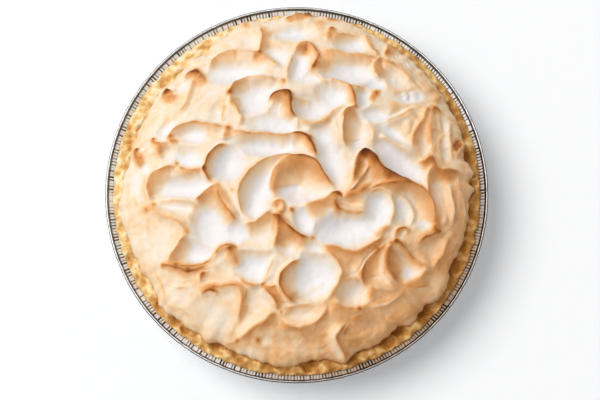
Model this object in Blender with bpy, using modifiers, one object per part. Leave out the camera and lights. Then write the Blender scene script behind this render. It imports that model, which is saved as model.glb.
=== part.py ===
"""A lemon meringue pie in its foil tin, as three solids that fit inside one another.

foil_tin   a turned shell with a flat floor, a flared wall and a rolled rim
crust      the pastry and its filling as one solid, with the uneven rim that shows around the top
meringue   the mound of spooned meringue: scoops pushed into a dome, with folds between them and peaks

Metres, +Z up. The origin is the middle of the tin's floor, on the surface that the pie stands on.
"""

from math import atan2, cos, exp, hypot, pi, radians, sin, tan

import bmesh
import bpy
import numpy as np

MM = 0.001

# Foil tin
RIM_RADIUS = 115 * MM
RIM_HEIGHT = 32 * MM
BEAD_RADIUS = 1.2 * MM
NECK = 0.8 * MM
WALL_TOP_INSET = 2.7 * MM
FLOOR_RADIUS = 86 * MM
CORNER_RADIUS = 3 * MM
FOIL = 0.6 * MM
TIN_STEPS = 84

# Crust: flat under the meringue, then a step up to a rounded crest, then down to the tin's wall
CLEARANCE = 0.3 * MM
FILLED_HEIGHT = 24 * MM
STEP_RADIUS = 94 * MM
CREST_RADIUS = 106 * MM
CREST_HEIGHT = 31 * MM
CRUST_EDGE_HEIGHT = 28.4 * MM
CRUST_STEPS = 96
CRIMPS = 27
CRIMP_DEPTH = 0.7 * MM
CRIMP_WIDTH = 3 * MM

# Meringue
EDGE_RADIUS = 103.6 * MM
EDGE_WOBBLE = 1.3 * MM
EDGE_HEIGHT = 33 * MM
DOME_HEIGHT = 30 * MM
DOME_SHOULDER = 2.6
DOME_ROUNDNESS = 0.62
UNDERCUT = 2 * MM
SEAT_RADIUS = 96 * MM
SEAT_GAP = 1.2 * MM
GRID_CELLS = 42

# Meringue relief, in millimetres
FOLD_CEILING = 6.0
FOLD_SOFTNESS = 2.0
SCOOP_SHIFT = 0.30
SCOOP_CURVE = 1.9
REACH = 22.0
EDGE_FADE = 12.0

COLOURS = {
    "foil_tin": ((0.80, 0.80, 0.82), 0.30, 1.0),
    "crust": ((0.80, 0.52, 0.20), 0.85, 0.0),
    "meringue": ((0.93, 0.78, 0.58), 0.60, 0.0),
}

# One row for each push of the spoon, oldest first, in millimetres and degrees:
# x, y, half length, half width, heading, depth, height of its lip, side the lip stands on
SCOOPS = [
    (-97, 3, 17, 10, 88, 2.5, 1.5, 180),
    (-82, 48, 24, 12, 30, 2.0, 2.0, 150),
    (-58, 83, 26, 10, 33, 2.0, 1.5, 110),
    (-33, 90, 12, 9, 90, 3.0, 2.0, 90),
    (30, 102, 18, 7, -15, 2.0, 2.0, 90),
    (66, 70, 22, 14, -45, 2.5, 2.0, 45),
    (96, -9, 20, 7, 92, 2.5, 1.5, 0),
    (95, 27, 16, 7, 75, 3.0, 2.0, 0),
    (88, -42, 20, 9, 65, 2.5, 2.0, -30),
    (62, -70, 24, 11, 30, 3.0, 1.5, -60),
    (38, -88, 18, 11, 15, 3.0, 1.5, -90),
    (-3, -92, 27, 11, 0, 2.5, 2.5, 90),
    (-47, -77, 19, 16, -30, 3.0, 3.0, 40),
    (-69, -62, 16, 12, -40, 3.0, 2.0, 60),
    (-83, -31, 22, 15, 80, 3.0, 4.0, 5),
    (-62, 29, 14, 8, 0, 4.0, 3.0, 110),
    (-63, 15, 12, 8, -10, 4.0, 2.5, -80),
    (-78, 15, 8, 6, 20, 3.0, 2.0, 180),
    (-69, 0, 20, 10, 4, 5.5, 3.0, 150),
    (-68, -14, 19, 6, -14, 3.5, 2.0, -60),
    (-34, 70, 21, 11, -4, 6.0, 3.5, 95),
    (-13, 73, 10, 8, -40, 4.0, 2.0, -160),
    (-4, 96, 18, 10, 14, 6.0, 4.0, 100),
    (33, 87, 14, 8, -10, 5.0, 3.0, 160),
    (51, 88, 11, 6, -80, 3.0, 3.0, 0),
    (31, 69, 21, 10, -12, 6.0, 3.0, 10),
    (3, 74, 14, 7, 85, 7.0, 6.0, 80),
    (67, 56, 17, 8, 8, 4.0, 2.0, 90),
    (52, 42, 19, 8, 18, 4.5, 2.5, 60),
    (57, 31, 18, 6, -28, 4.0, 2.0, 60),
    (73, 29, 18, 7, 80, 4.5, 3.0, 170),
    (85, 30, 19, 7, 88, 4.5, 3.0, 180),
    (59, 14, 22, 10, -40, 6.0, 2.5, 60),
    (85, -8, 19, 8, 95, 5.0, 3.0, 80),
    (62, -14, 20, 17, -25, 7.0, 5.0, 60),
    (59, -16, 12, 10, -60, 7.5, 1.5, 20),
    (47, -14, 10, 9, 80, 7.5, 2.0, 60),
    (-27, 50, 14, 13, 40, 7.0, 4.0, 150),
    (-14, 36, 20, 8, 0, 6.5, 2.0, -90),
    (-9, 43, 13, 8, 85, 6.5, 5.5, 70),
    (10, 46, 16, 13, 0, 6.5, 2.0, -80),
    (21, 53, 15, 12, 10, 6.5, 4.5, 0),
    (34, 30, 15, 8.5, 86, 6.5, 3.5, 160),
    (16, 26, 14, 9, -20, 6.0, 2.0, -60),
    (20, 10, 17, 9, -75, 6.0, 2.0, 0),
    (-16, 21, 28, 10, 0, 6.5, 4.0, 50),
    (-41, 10.5, 13, 12, 60, 7.5, 4.5, 160),
    (-15, -4, 24, 17, 58, 7.5, 4.0, 150),
    (3, 0, 19, 14.5, -14, 9.0, 5.5, 85),
    (-51, -23, 20, 15, -75, 6.5, 4.0, 70),
    (-57, -38, 18, 10, 10, 6.5, 4.0, 200),
    (-25, -31, 17, 9, -5, 6.0, 4.5, 30),
    (-4, -36, 11, 8, -60, 6.5, 4.5, 130),
    (5, -21, 10, 7, 60, 6.0, 2.5, 150),
    (27, -29, 21, 11, 8, 7.5, 3.5, -90),
    (-27, -49, 15, 10, -12, 6.0, 3.5, 100),
    (-22, -72, 15, 9, 50, 4.5, 2.5, -30),
    (2, -75, 13, 8, 5, 4.5, 2.0, -90),
    (8, -55, 18, 15, 45, 8.0, 4.5, 190),
    (31, -64, 12, 9, -35, 5.0, 2.5, -60),
    (46, -49, 15, 8, 68, 5.0, 4.0, 130),
    (78, -38, 13, 10, 30, 4.0, 3.0, 60),
    (62, -46, 13, 11.5, -40, 7.5, 5.0, 120),
]

# One row for each peak the spoon pulled up: x, y, height, radius at its foot
PEAKS = [
    (40, 16, 6.5, 10),
    (52, 5, 3.5, 12),
    (23, -8, 5.5, 8),
    (-6, 54, 4.0, 9),
    (-39, 54, 4.0, 6),
    (-53, 8, 4.0, 8),
    (7, 26, 3.0, 9),
    (5, 85, 3.5, 9),
    (-60, 69, 6.0, 8),
    (-77, 57, 5.5, 7),
    (-95, 20, 5.5, 8),
    (-82, 25, 4.0, 7),
    (-22, 80, 3.0, 6),
    (21, 95, 3.5, 7),
    (4, 109, 3.0, 10),
    (49, 76, 3.0, 7),
    (46, 55, 3.5, 7),
    (78, 13, 3.5, 8),
    (61, -27, 3.0, 5),
    (81, -25, 3.0, 6),
    (-9, -14, 4.0, 6),
    (-46, -4, 4.0, 8),
    (-37, -38, 4.0, 10),
    (-64, -49, 3.5, 8),
    (-74, -46, 3.0, 7),
]


def clear_scene():
    for thing in list(bpy.data.objects):
        bpy.data.objects.remove(thing, do_unlink=True)


def make_collection(name):
    collection = bpy.data.collections.new(name)
    bpy.context.scene.collection.children.link(collection)
    return collection


def make_material(name):
    colour, roughness, metallic = COLOURS[name]
    material = bpy.data.materials.new(name)
    material.use_nodes = True
    shader = material.node_tree.nodes["Principled BSDF"]
    shader.inputs["Base Color"].default_value = (*colour, 1.0)
    shader.inputs["Roughness"].default_value = roughness
    shader.inputs["Metallic"].default_value = metallic
    return material


def arc(centre_r, centre_z, radius, start, end, steps):
    """Points on an arc of the section, from one angle to the other, in degrees."""
    angles = [radians(start + (end - start) * i / steps) for i in range(steps + 1)]
    return [(centre_r + radius * cos(a), centre_z + radius * sin(a)) for a in angles]


def lining(offset, top):
    """The tin's wall and floor in section, from the top down to the axis, offset in from the outer face."""
    run = RIM_RADIUS - WALL_TOP_INSET - FLOOR_RADIUS
    slope = atan2(RIM_HEIGHT - 2 * BEAD_RADIUS, run)
    centre_r = FLOOR_RADIUS - CORNER_RADIUS * tan(slope / 2)
    corner = arc(centre_r, CORNER_RADIUS, CORNER_RADIUS - offset, slope * 180 / pi - 90, -90, 2)
    foot_r, foot_z = corner[0]
    return [(foot_r + (top - foot_z) / tan(slope), top)] + corner + [(0.0, offset)]


def turned(name, profile, steps, collection):
    """A solid turned about Z, from a section that runs down its outer side."""
    mesh = bpy.data.meshes.new(name)
    edges = [(i, i + 1) for i in range(len(profile) - 1)]
    mesh.from_pydata([(r, 0.0, z) for r, z in profile], edges, [])
    mesh.materials.append(make_material(name))
    made = bpy.data.objects.new(name, mesh)
    collection.objects.link(made)
    screw = made.modifiers.new("turn", "SCREW")
    screw.axis = "Z"
    screw.steps = steps
    screw.render_steps = steps
    screw.use_merge_vertices = True
    screw.merge_threshold = 0.05 * MM
    screw.use_smooth_shade = True
    return made


def make_foil_tin(collection):
    bead_z = RIM_HEIGHT - BEAD_RADIUS
    inside = lining(FOIL, bead_z - NECK)
    bead = arc(RIM_RADIUS - BEAD_RADIUS, bead_z, BEAD_RADIUS, 180, -120, 8)
    outside = lining(0.0, bead_z - BEAD_RADIUS - NECK / 2)
    turned("foil_tin", inside[::-1] + bead + outside, TIN_STEPS, collection)


def crust_height(r):
    """Height of the crust's top out to its crest."""
    rise = np.clip((r - STEP_RADIUS) / (CREST_RADIUS - STEP_RADIUS), 0.0, 1.0)
    return FILLED_HEIGHT + (CREST_HEIGHT - FILLED_HEIGHT) * rise * rise * (3 - 2 * rise)


def crust_section():
    """The crust's top from the axis out to its crest, then the shoulder and the side against the tin."""
    radii = [0.0] + [STEP_RADIUS + (CREST_RADIUS - STEP_RADIUS) * i / 5 for i in range(6)]
    top = [(r, float(crust_height(r))) for r in radii]
    side = lining(FOIL + CLEARANCE, CRUST_EDGE_HEIGHT)
    shoulder = ((CREST_RADIUS + 2 * side[0][0]) / 3, (CREST_HEIGHT + CRUST_EDGE_HEIGHT) / 2)
    return top + [shoulder] + side


def make_crust(collection):
    """The turned crust, with its crest pinched up and down around the rim."""
    made = turned("crust", crust_section(), CRUST_STEPS, collection)
    graph = bpy.context.evaluated_depsgraph_get()
    made_mesh = bpy.data.meshes.new_from_object(made.evaluated_get(graph))
    made.modifiers.clear()
    made.data = made_mesh
    for vertex in made_mesh.vertices:
        x, y, z = vertex.co
        if z < CRUST_EDGE_HEIGHT + CLEARANCE:
            continue
        angle = atan2(y, x)
        pinch = sin(CRIMPS * angle + sin(3 * angle)) + 0.5 * sin((CRIMPS + 16) * angle)
        on_crest = exp(-(((hypot(x, y) - CREST_RADIUS) / CRIMP_WIDTH) ** 2))
        vertex.co.z = z + CRIMP_DEPTH / 1.5 * pinch * on_crest


def waves(x, y, seed, length):
    """A gentle unevenness over the plane, with waves of about one length."""
    rng = np.random.RandomState(seed)
    total = np.zeros_like(x)
    for heading, stretch, phase in rng.uniform(0.0, 1.0, (5, 3)):
        along = x * cos(2 * pi * heading) + y * sin(2 * pi * heading)
        total += np.sin(2 * pi * ((0.6 + 0.9 * stretch) * along / length + phase))
    return total / 5 ** 0.5


def soft_min(a, b):
    """The lower of two surfaces, with the crease between them slightly rounded."""
    mix = np.clip(0.5 + 0.5 * (b - a) / FOLD_SOFTNESS, 0.0, 1.0)
    return b + (a - b) * mix - FOLD_SOFTNESS * mix * (1.0 - mix)


def scoop(x, y, row):
    """Height of one scoop's bowl over the plane, and of the fold that it pushes up around itself."""
    cx, cy, long, wide, heading, depth, lip, lip_side = row
    turn = radians(heading)
    u = ((x - cx) * cos(turn) + (y - cy) * sin(turn)) / long
    v = ((y - cy) * cos(turn) - (x - cx) * sin(turn)) / wide
    # the lowest point lies away from the lip; t grows from 0 there to 1 on the scoop's outline
    low_u = -SCOOP_SHIFT * cos(radians(lip_side) - turn)
    low_v = -SCOOP_SHIFT * sin(radians(lip_side) - turn)
    du, dv = u - low_u, v - low_v
    across = low_u * du + low_v * dv
    square = du * du + dv * dv + 1e-9
    stretch = (np.sqrt(across * across + square * (1 - SCOOP_SHIFT**2)) - across) / square
    t = 1.0 / stretch
    rim_u, rim_v = low_u + du * stretch, low_v + dv * stretch
    side = np.arctan2(rim_v * wide, rim_u * long) + turn
    rim = -0.15 * depth + (lip + 0.15 * depth) * (0.5 + 0.5 * np.cos(side - radians(lip_side)))
    gap = np.hypot((rim_u - u) * long, (rim_v - v) * wide)
    bowl = np.where(t > 1, rim + 0.75 * gap, (rim + 0.85 * depth) * t**SCOOP_CURVE - 0.85 * depth)
    fold = np.where(t > 1, rim - gap, rim + 0.3 * gap)
    return bowl, fold


def relief(x, y):
    """Height of the folds over the dome, in millimetres, at places given in millimetres."""
    bent_x = x + 1.1 * waves(x, y, 1, 26) + 0.45 * waves(x, y, 3, 11)
    bent_y = y + 1.1 * waves(x, y, 2, 26) + 0.45 * waves(x, y, 4, 11)
    height = np.full_like(x, FOLD_CEILING)
    for row in SCOOPS:
        near = np.hypot(bent_x - row[0], bent_y - row[1]) < 1.1 * max(row[2], row[3]) + REACH
        bowl, fold = scoop(bent_x[near], bent_y[near], row)
        folded = -soft_min(-height[near], -fold)
        height[near] = soft_min(folded, bowl)
    for cx, cy, peak, foot in PEAKS:
        height += 0.9 * peak * np.clip(1 - np.hypot(x - cx, y - cy) / foot, 0.0, 1.0) ** 2
    edge = EDGE_RADIUS / MM
    inside = np.clip((edge - np.hypot(x, y)) / EDGE_FADE, 0.0, 1.0)
    return height * (0.25 + 0.75 * inside * inside * (3 - 2 * inside))


def edge_radius(angle):
    """The meringue's own edge, uneven around the pie."""
    wobble = np.sin(5 * angle + 1.0) + 0.6 * np.sin(11 * angle) + 0.4 * np.sin(23 * angle + 2.0)
    return EDGE_RADIUS + EDGE_WOBBLE / 2 * wobble


def disc_points(square):
    """Places on the meringue's disc for points of a square from -1 to 1, without crowding the middle."""
    x, y = square[:, 0], square[:, 1]
    share = np.maximum(np.abs(x), np.abs(y))
    wide = np.abs(x) > np.abs(y)
    safe_x = np.where(wide, x, 1.0)
    safe_y = np.where(wide | (y == 0), 1.0, y)
    angle = np.where(wide, pi / 4 * y / safe_x, pi / 2 - pi / 4 * x / safe_y)
    angle = np.where(np.where(wide, x, y) < 0, angle + pi, angle)
    radius = share * edge_radius(angle)
    height = EDGE_HEIGHT + DOME_HEIGHT * (1 - share**DOME_SHOULDER) ** DOME_ROUNDNESS
    px, py = radius * np.cos(angle), radius * np.sin(angle)
    return px, py, height + MM * relief(px / MM, py / MM)


def close_underneath(shape):
    """Skirts from the meringue's edge in under it, then a flat face where it sits on the crust."""
    for step in (UNDERCUT, EDGE_RADIUS - SEAT_RADIUS):
        border = [edge for edge in shape.edges if edge.is_boundary]
        made = bmesh.ops.extrude_edge_only(shape, edges=border)["geom"]
        for vertex in (item for item in made if isinstance(item, bmesh.types.BMVert)):
            angle = atan2(vertex.co.y, vertex.co.x)
            r = hypot(vertex.co.x, vertex.co.y) - step if step == UNDERCUT else SEAT_RADIUS
            vertex.co = (r * cos(angle), r * sin(angle), float(crust_height(r)) + SEAT_GAP)
    border = [edge for edge in shape.edges if edge.is_boundary]
    bmesh.ops.contextual_create(shape, geom=border)
    bmesh.ops.recalc_face_normals(shape, faces=shape.faces)


def make_meringue(collection):
    bpy.ops.mesh.primitive_grid_add(x_subdivisions=GRID_CELLS, y_subdivisions=GRID_CELLS, size=2)
    made = bpy.context.object
    made.name = "meringue"
    for home in list(made.users_collection):
        home.objects.unlink(made)
    collection.objects.link(made)
    mesh = made.data
    square = np.array([vertex.co[:2] for vertex in mesh.vertices])
    for vertex, place in zip(mesh.vertices, zip(*disc_points(square))):
        vertex.co = place
    shape = bmesh.new()
    shape.from_mesh(mesh)
    close_underneath(shape)
    shape.to_mesh(mesh)
    shape.free()
    mesh.shade_smooth()
    mesh.materials.append(make_material("meringue"))


def main():
    clear_scene()
    collection = make_collection("lemon_meringue_pie")
    make_foil_tin(collection)
    make_crust(collection)
    make_meringue(collection)


main()
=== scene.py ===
"""Builds the finished looks of a whole lemon meringue pie in its foil tin.

Run it as a script, or from Blender's text editor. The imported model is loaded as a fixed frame; the
foil tin, the crust and the meringue are then modelled in full around it, in metres, +Z up. Places on
the pie are named as seen from above, with +X to the right and the front, -Y, below.
"""

from math import atan2, cos, degrees, pi, radians, sin, tan

import bpy
import numpy as np
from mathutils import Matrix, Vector


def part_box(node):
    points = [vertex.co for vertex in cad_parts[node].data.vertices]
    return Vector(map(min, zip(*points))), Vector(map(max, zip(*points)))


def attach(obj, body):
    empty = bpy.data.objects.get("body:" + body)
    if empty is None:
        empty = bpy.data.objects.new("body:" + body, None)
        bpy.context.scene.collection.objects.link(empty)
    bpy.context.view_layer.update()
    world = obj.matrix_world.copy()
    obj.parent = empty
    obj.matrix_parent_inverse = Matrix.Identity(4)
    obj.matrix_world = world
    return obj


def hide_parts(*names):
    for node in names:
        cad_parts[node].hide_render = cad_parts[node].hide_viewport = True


bl_info = {
    "name": "Lemon Meringue Pie",
    "version": (1, 0, 0),
    "blender": (4, 5, 0),
    "location": "3D View > Sidebar > Pie",
    "description": "Builds a lemon meringue pie in a foil tin, piece by piece",
    "category": "Add Mesh",
}

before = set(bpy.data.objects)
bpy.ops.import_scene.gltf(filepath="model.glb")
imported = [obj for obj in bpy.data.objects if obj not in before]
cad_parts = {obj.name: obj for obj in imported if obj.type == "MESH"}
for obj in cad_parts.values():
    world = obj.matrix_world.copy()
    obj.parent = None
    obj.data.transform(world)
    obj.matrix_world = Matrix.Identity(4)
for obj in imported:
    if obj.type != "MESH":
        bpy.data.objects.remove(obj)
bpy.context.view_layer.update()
TIN_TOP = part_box("foil_tin")[1]

MM = 0.001
BODY = "root"

# Foil tin: its section
RIM_RADIUS = TIN_TOP.x
RIM_HEIGHT = TIN_TOP.z
BEAD_RADIUS = 0.75 * MM
BEAD_R = RIM_RADIUS - BEAD_RADIUS
BEAD_Z = RIM_HEIGHT - BEAD_RADIUS
# The arc of the bead in section: from and to, in degrees, and its steps
BEAD_ARC = (215, -100, 12)
FOIL = 0.3 * MM
FLOOR_RADIUS = 86 * MM
CORNER_RADIUS = 3 * MM
FLANGE_START = (109.5 * MM, 27.2 * MM)
FLANGE_END = (113.2 * MM, 29.8 * MM)
FLANGE_ROWS, CORNER_ROWS, FLOOR_ROWS = 8, 4, 3
INSIDE_ROWS, OUTSIDE_ROWS = 9, 7

# Foil tin: its pleats, which stand square to the flange, and the dents in its bead
SAMPLES_PER_PLEAT = 4
PLEAT_OUT, PLEAT_DOWN = 0.6, 0.8
DEEPER_ON_WALL = 1.5
BEAD_DENT = 0.12 * MM
BEAD_SINK = 0.06 * MM

# Foil tin: unevenness round it, as a seed and the fewest and most waves
PHASE_WAVES = (11, 5, 23)
SLOW_WAVES = (12, 9, 60)
QUICK_WAVES = (14, 80, 190)
BEAD_WAVES = (13, 20, 110)
GAP_WAVES = (16, 90, 180)
SPECK_WAVES = (15, 90, 260)

# Foil tin: its lower right, painted as if it mirrored the crust, and the tones of its painted shade and
# painted reflection
MIRROR_SIDE = radians(-45)
CREASE_SHADE_TONE = (0.035, 0.03, 0.03)
MIRRORED_CRUST = (0.50, 0.36, 0.25, 1.0)
CREASE_METAL = 0.12

# Crust
CREST_RADIUS = 106 * MM
CREST_HEIGHT = 31 * MM
CRUST_INNER_RADIUS = 92 * MM
CRUST_FOOT = 24 * MM
CRUST_EDGE = (110.5 * MM, 28.8 * MM)
CRUST_BASE = [(105.5 * MM, 25 * MM), (99 * MM, 20 * MM), (CRUST_INNER_RADIUS, 20 * MM)]
CRUST_AROUND = 1100
CRUST_ACROSS = 32
SHOULDER_STEPS = 10
# Its unevenness in layers of a seed, the size of the lumps and their height
CRUMBS = ((21, 8, 0.9), (22, 3.8, 1.0), (23, 1.8, 0.45))
RAGGED = ((24, 6, 0.9), (26, 2.5, 0.5))
RAGGED_REACH = 0.8 * MM
# How far the crust spills over the flange at the upper right
SPILL = 0.8 * MM
SPILL_SIDE = radians(45)
# Where the crust lies over the flange: the slope of its underside and the least gap
UNDERSIDE_SLOPE = 0.79
FLANGE_GAP = 0.35 * MM
# The side towards the window, where the crust is painted lighter as painted light
PASTRY_LIT_SIDE = radians(140)
# Pastry colours, from the darkest pit in painted shade to the palest crumb
PASTRY_TONES = [
    (0.0, (0.40, 0.15, 0.008)),
    (0.30, (0.51, 0.225, 0.045)),
    (0.55, (0.70, 0.385, 0.115)),
    (0.80, (0.90, 0.62, 0.26)),
    (1.0, (0.94, 0.80, 0.52)),
]

# Meringue: dome and seat
EDGE_RADIUS = 104.5 * MM
EDGE_START = 0.72
EDGE_HEIGHT = 33 * MM
DOME_HEIGHT = 30 * MM
DOME_SHOULDER = 2.6
DOME_ROUNDNESS = 0.62
MERINGUE_CELLS = 300
SEAT_RADIUS = 96 * MM
SEAT_HEIGHT = 25.6 * MM
UNDERCUT = 2 * MM
UNDERCUT_HEIGHT = 29.6 * MM
EDGE_WAVES = (32, 40, 110)
# The distance from the edge over which the relief sinks, in millimetres
EDGE_FADE = 12.0

# Meringue: hollows, in millimetres
BOWL_DEPTH = 1.35
BOWL_LIP = 0.05
BOWL_SUM = 1.012
# The white of a hollow sits towards its front right wall, by this share of its half width
WHITE_LEAN = 0.2

# Meringue: folds, in millimetres
# How sharply the front and the back of a fold rise to its crest
FRONT_POWER = 1.7
BACK_POWER = 1.3
# How round the crest is, how wide its browned line, and how far that fades at the ends
CREST_ROUND = 0.6
LINE_WIDTH = 0.65
END_FADE = 5.0
# The share of a fold's length over which it sinks to each end, and of its height and width left there
TAPER = 0.22
END_HEIGHT = 0.15
END_WIDTH = 0.45
# How far a fold leans over its hollow: a share of its height, and at most of its width behind
LEAN = 0.22
MOST_LEAN = 0.4
# A path is where the crest shows to the camera, so its foot lies this share of its height nearer
SEEN_SHIFT = 0.19
# The wider the front of a fold, the further down it the browning holds
FRONT_WIDTHS = (6, 14, 20)
SPREAD_POWERS = (1.2, 0.85, 0.62)

# Meringue: browning and its colours, from bare white to scorched
FULL_TOAST = 1.15
# Where the dome turns into its flank, in millimetres from the middle
FLANK_START, FLANK_FULL = 55, 90
# How far the streaks are swept about, and by lumps of what size
SWEEP = 9.0
SWEEP_SIZE = 24
# The side towards which the meringue grows darker, the side with the weakest streaks and the side with
# the strongest loose folds
DARKEST_SIDE = radians(-50)
FRONT_SIDE = radians(-85)
LOOSE_SIDE = radians(10)
MERINGUE_TONES = [
    (0.00, (0.81, 0.785, 0.78)),
    (0.15, (0.862, 0.735, 0.585)),
    (0.30, (0.88, 0.63, 0.388)),
    (0.45, (0.815, 0.462, 0.214)),
    (0.60, (0.695, 0.31, 0.098)),
    (0.75, (0.45, 0.155, 0.034)),
    (0.90, (0.25, 0.066, 0.009)),
    (1.10, (0.10, 0.026, 0.004)),
]

# Meringue: unevenness in layers of a seed, the size of the lumps and their height
WANDER_X = ((1, 15, 0.7), (3, 5, 0.4))
WANDER_Y = ((2, 15, 0.7), (4, 5, 0.4))
BROWN_PATCHES = ((7, 26, 0.08), (8, 9, 0.05))
BROWN_STREAKS = ((73, 9, 0.075), (74, 4.5, 0.05))
FOLD_WIDTHS = ((61, 6, 0.35), (62, 2.5, 0.2))
CREST_SPOTS = ((63, 5, 0.12),)
FINE_LUMPS = ((41, 9, 0.35), (42, 4, 0.22), (43, 2, 0.08))
# Small loose folds everywhere: seed, size and share of their height
LOOSE_FOLDS = ((51, 20, 0.8), (53, 12, 0.45), (55, 6, 0.2))

# Stage
WINDOW_HEADING = radians(158)
WINDOW_LIFT = radians(55)
WINDOW_DISTANCE = 6.0
ROOM_COLOUR = (0.985, 0.99, 1, 1)
PAPER_TONES = [(0.2, (0.935, 0.94, 0.945)), (0.8, (0.95, 0.95, 0.95))]
CAMERA_AIM = (1.94 * MM, -5.9 * MM, RIM_HEIGHT)
CAMERA_LENS = 85
SENSOR_WIDTH = 36

# How far the meringue reaches out, as pairs of an angle in degrees and a radius in millimetres
EDGE = [
    (0, 106.6), (2, 103.4), (5.5, 106.8), (7.5, 105.3), (10, 102.6), (13, 102.7), (15.5, 104.4),
    (20, 105.2), (27, 105), (45, 106), (60, 106.5), (75, 109), (90, 109.5), (100, 107),
    (108, 109.5), (115, 105), (119, 104), (124, 101), (128.5, 104), (133.5, 101), (139, 101.5),
    (145, 103.3), (151, 101.5), (156, 101.8), (170, 102.2), (180, 105), (187, 106.7), (196, 104.5),
    (207, 104), (215, 103), (222, 107), (228, 104.8), (237, 104), (240, 105.6), (243, 102.4),
    (248, 103), (256, 104), (266, 106), (275, 102.3), (280, 102.8), (285, 107), (290, 103),
    (297, 104), (301, 102.8), (306, 101.2), (310, 105.4), (312.5, 104.4), (315, 103), (318, 102.6),
    (320, 104.8), (321.5, 106.6), (325.5, 106.6), (328.5, 105.3), (332, 102.2), (335, 101.6),
    (338, 103.2), (345, 103.5), (354.5, 103.4), (358, 104),
]

# One row for each pocket in the crust beside the meringue, sunk and darkened with painted shade, in
# millimetres: x, y, radius, depth
POCKETS = [
    (102.5, 20, 6, 3), (104.5, 3, 4.5, 2), (105, -13, 5, 2.2), (92, 51, 5, 2.5), (88, 57, 4, 2.5),
    (92.5, -47, 7, 3.5), (76, -72.5, 8, 4), (60, -85, 6, 3.5), (53.5, -90, 6, 3.5),
    (8, -104.5, 6, 3.5), (-35, -98.5, 5, 2), (-48, -93.5, 5, 2.2), (-65, -83, 5, 2.2),
    (-72, -77.5, 5, 2.2), (-81, -70, 4.5, 2), (-58, 87, 4.5, 2), (-81, 68, 5, 1.8),
    (-91, 53.5, 5, 1.8), (-100, 32, 5, 2), (-104, -22, 4, 1.2), (99, -34, 5, 2), (31, -101, 5, 2),
    (-18, -104.5, 4.5, 1.5), (-99, -40, 4, 1.2), (103, 36, 5, 1.6),
]

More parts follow.
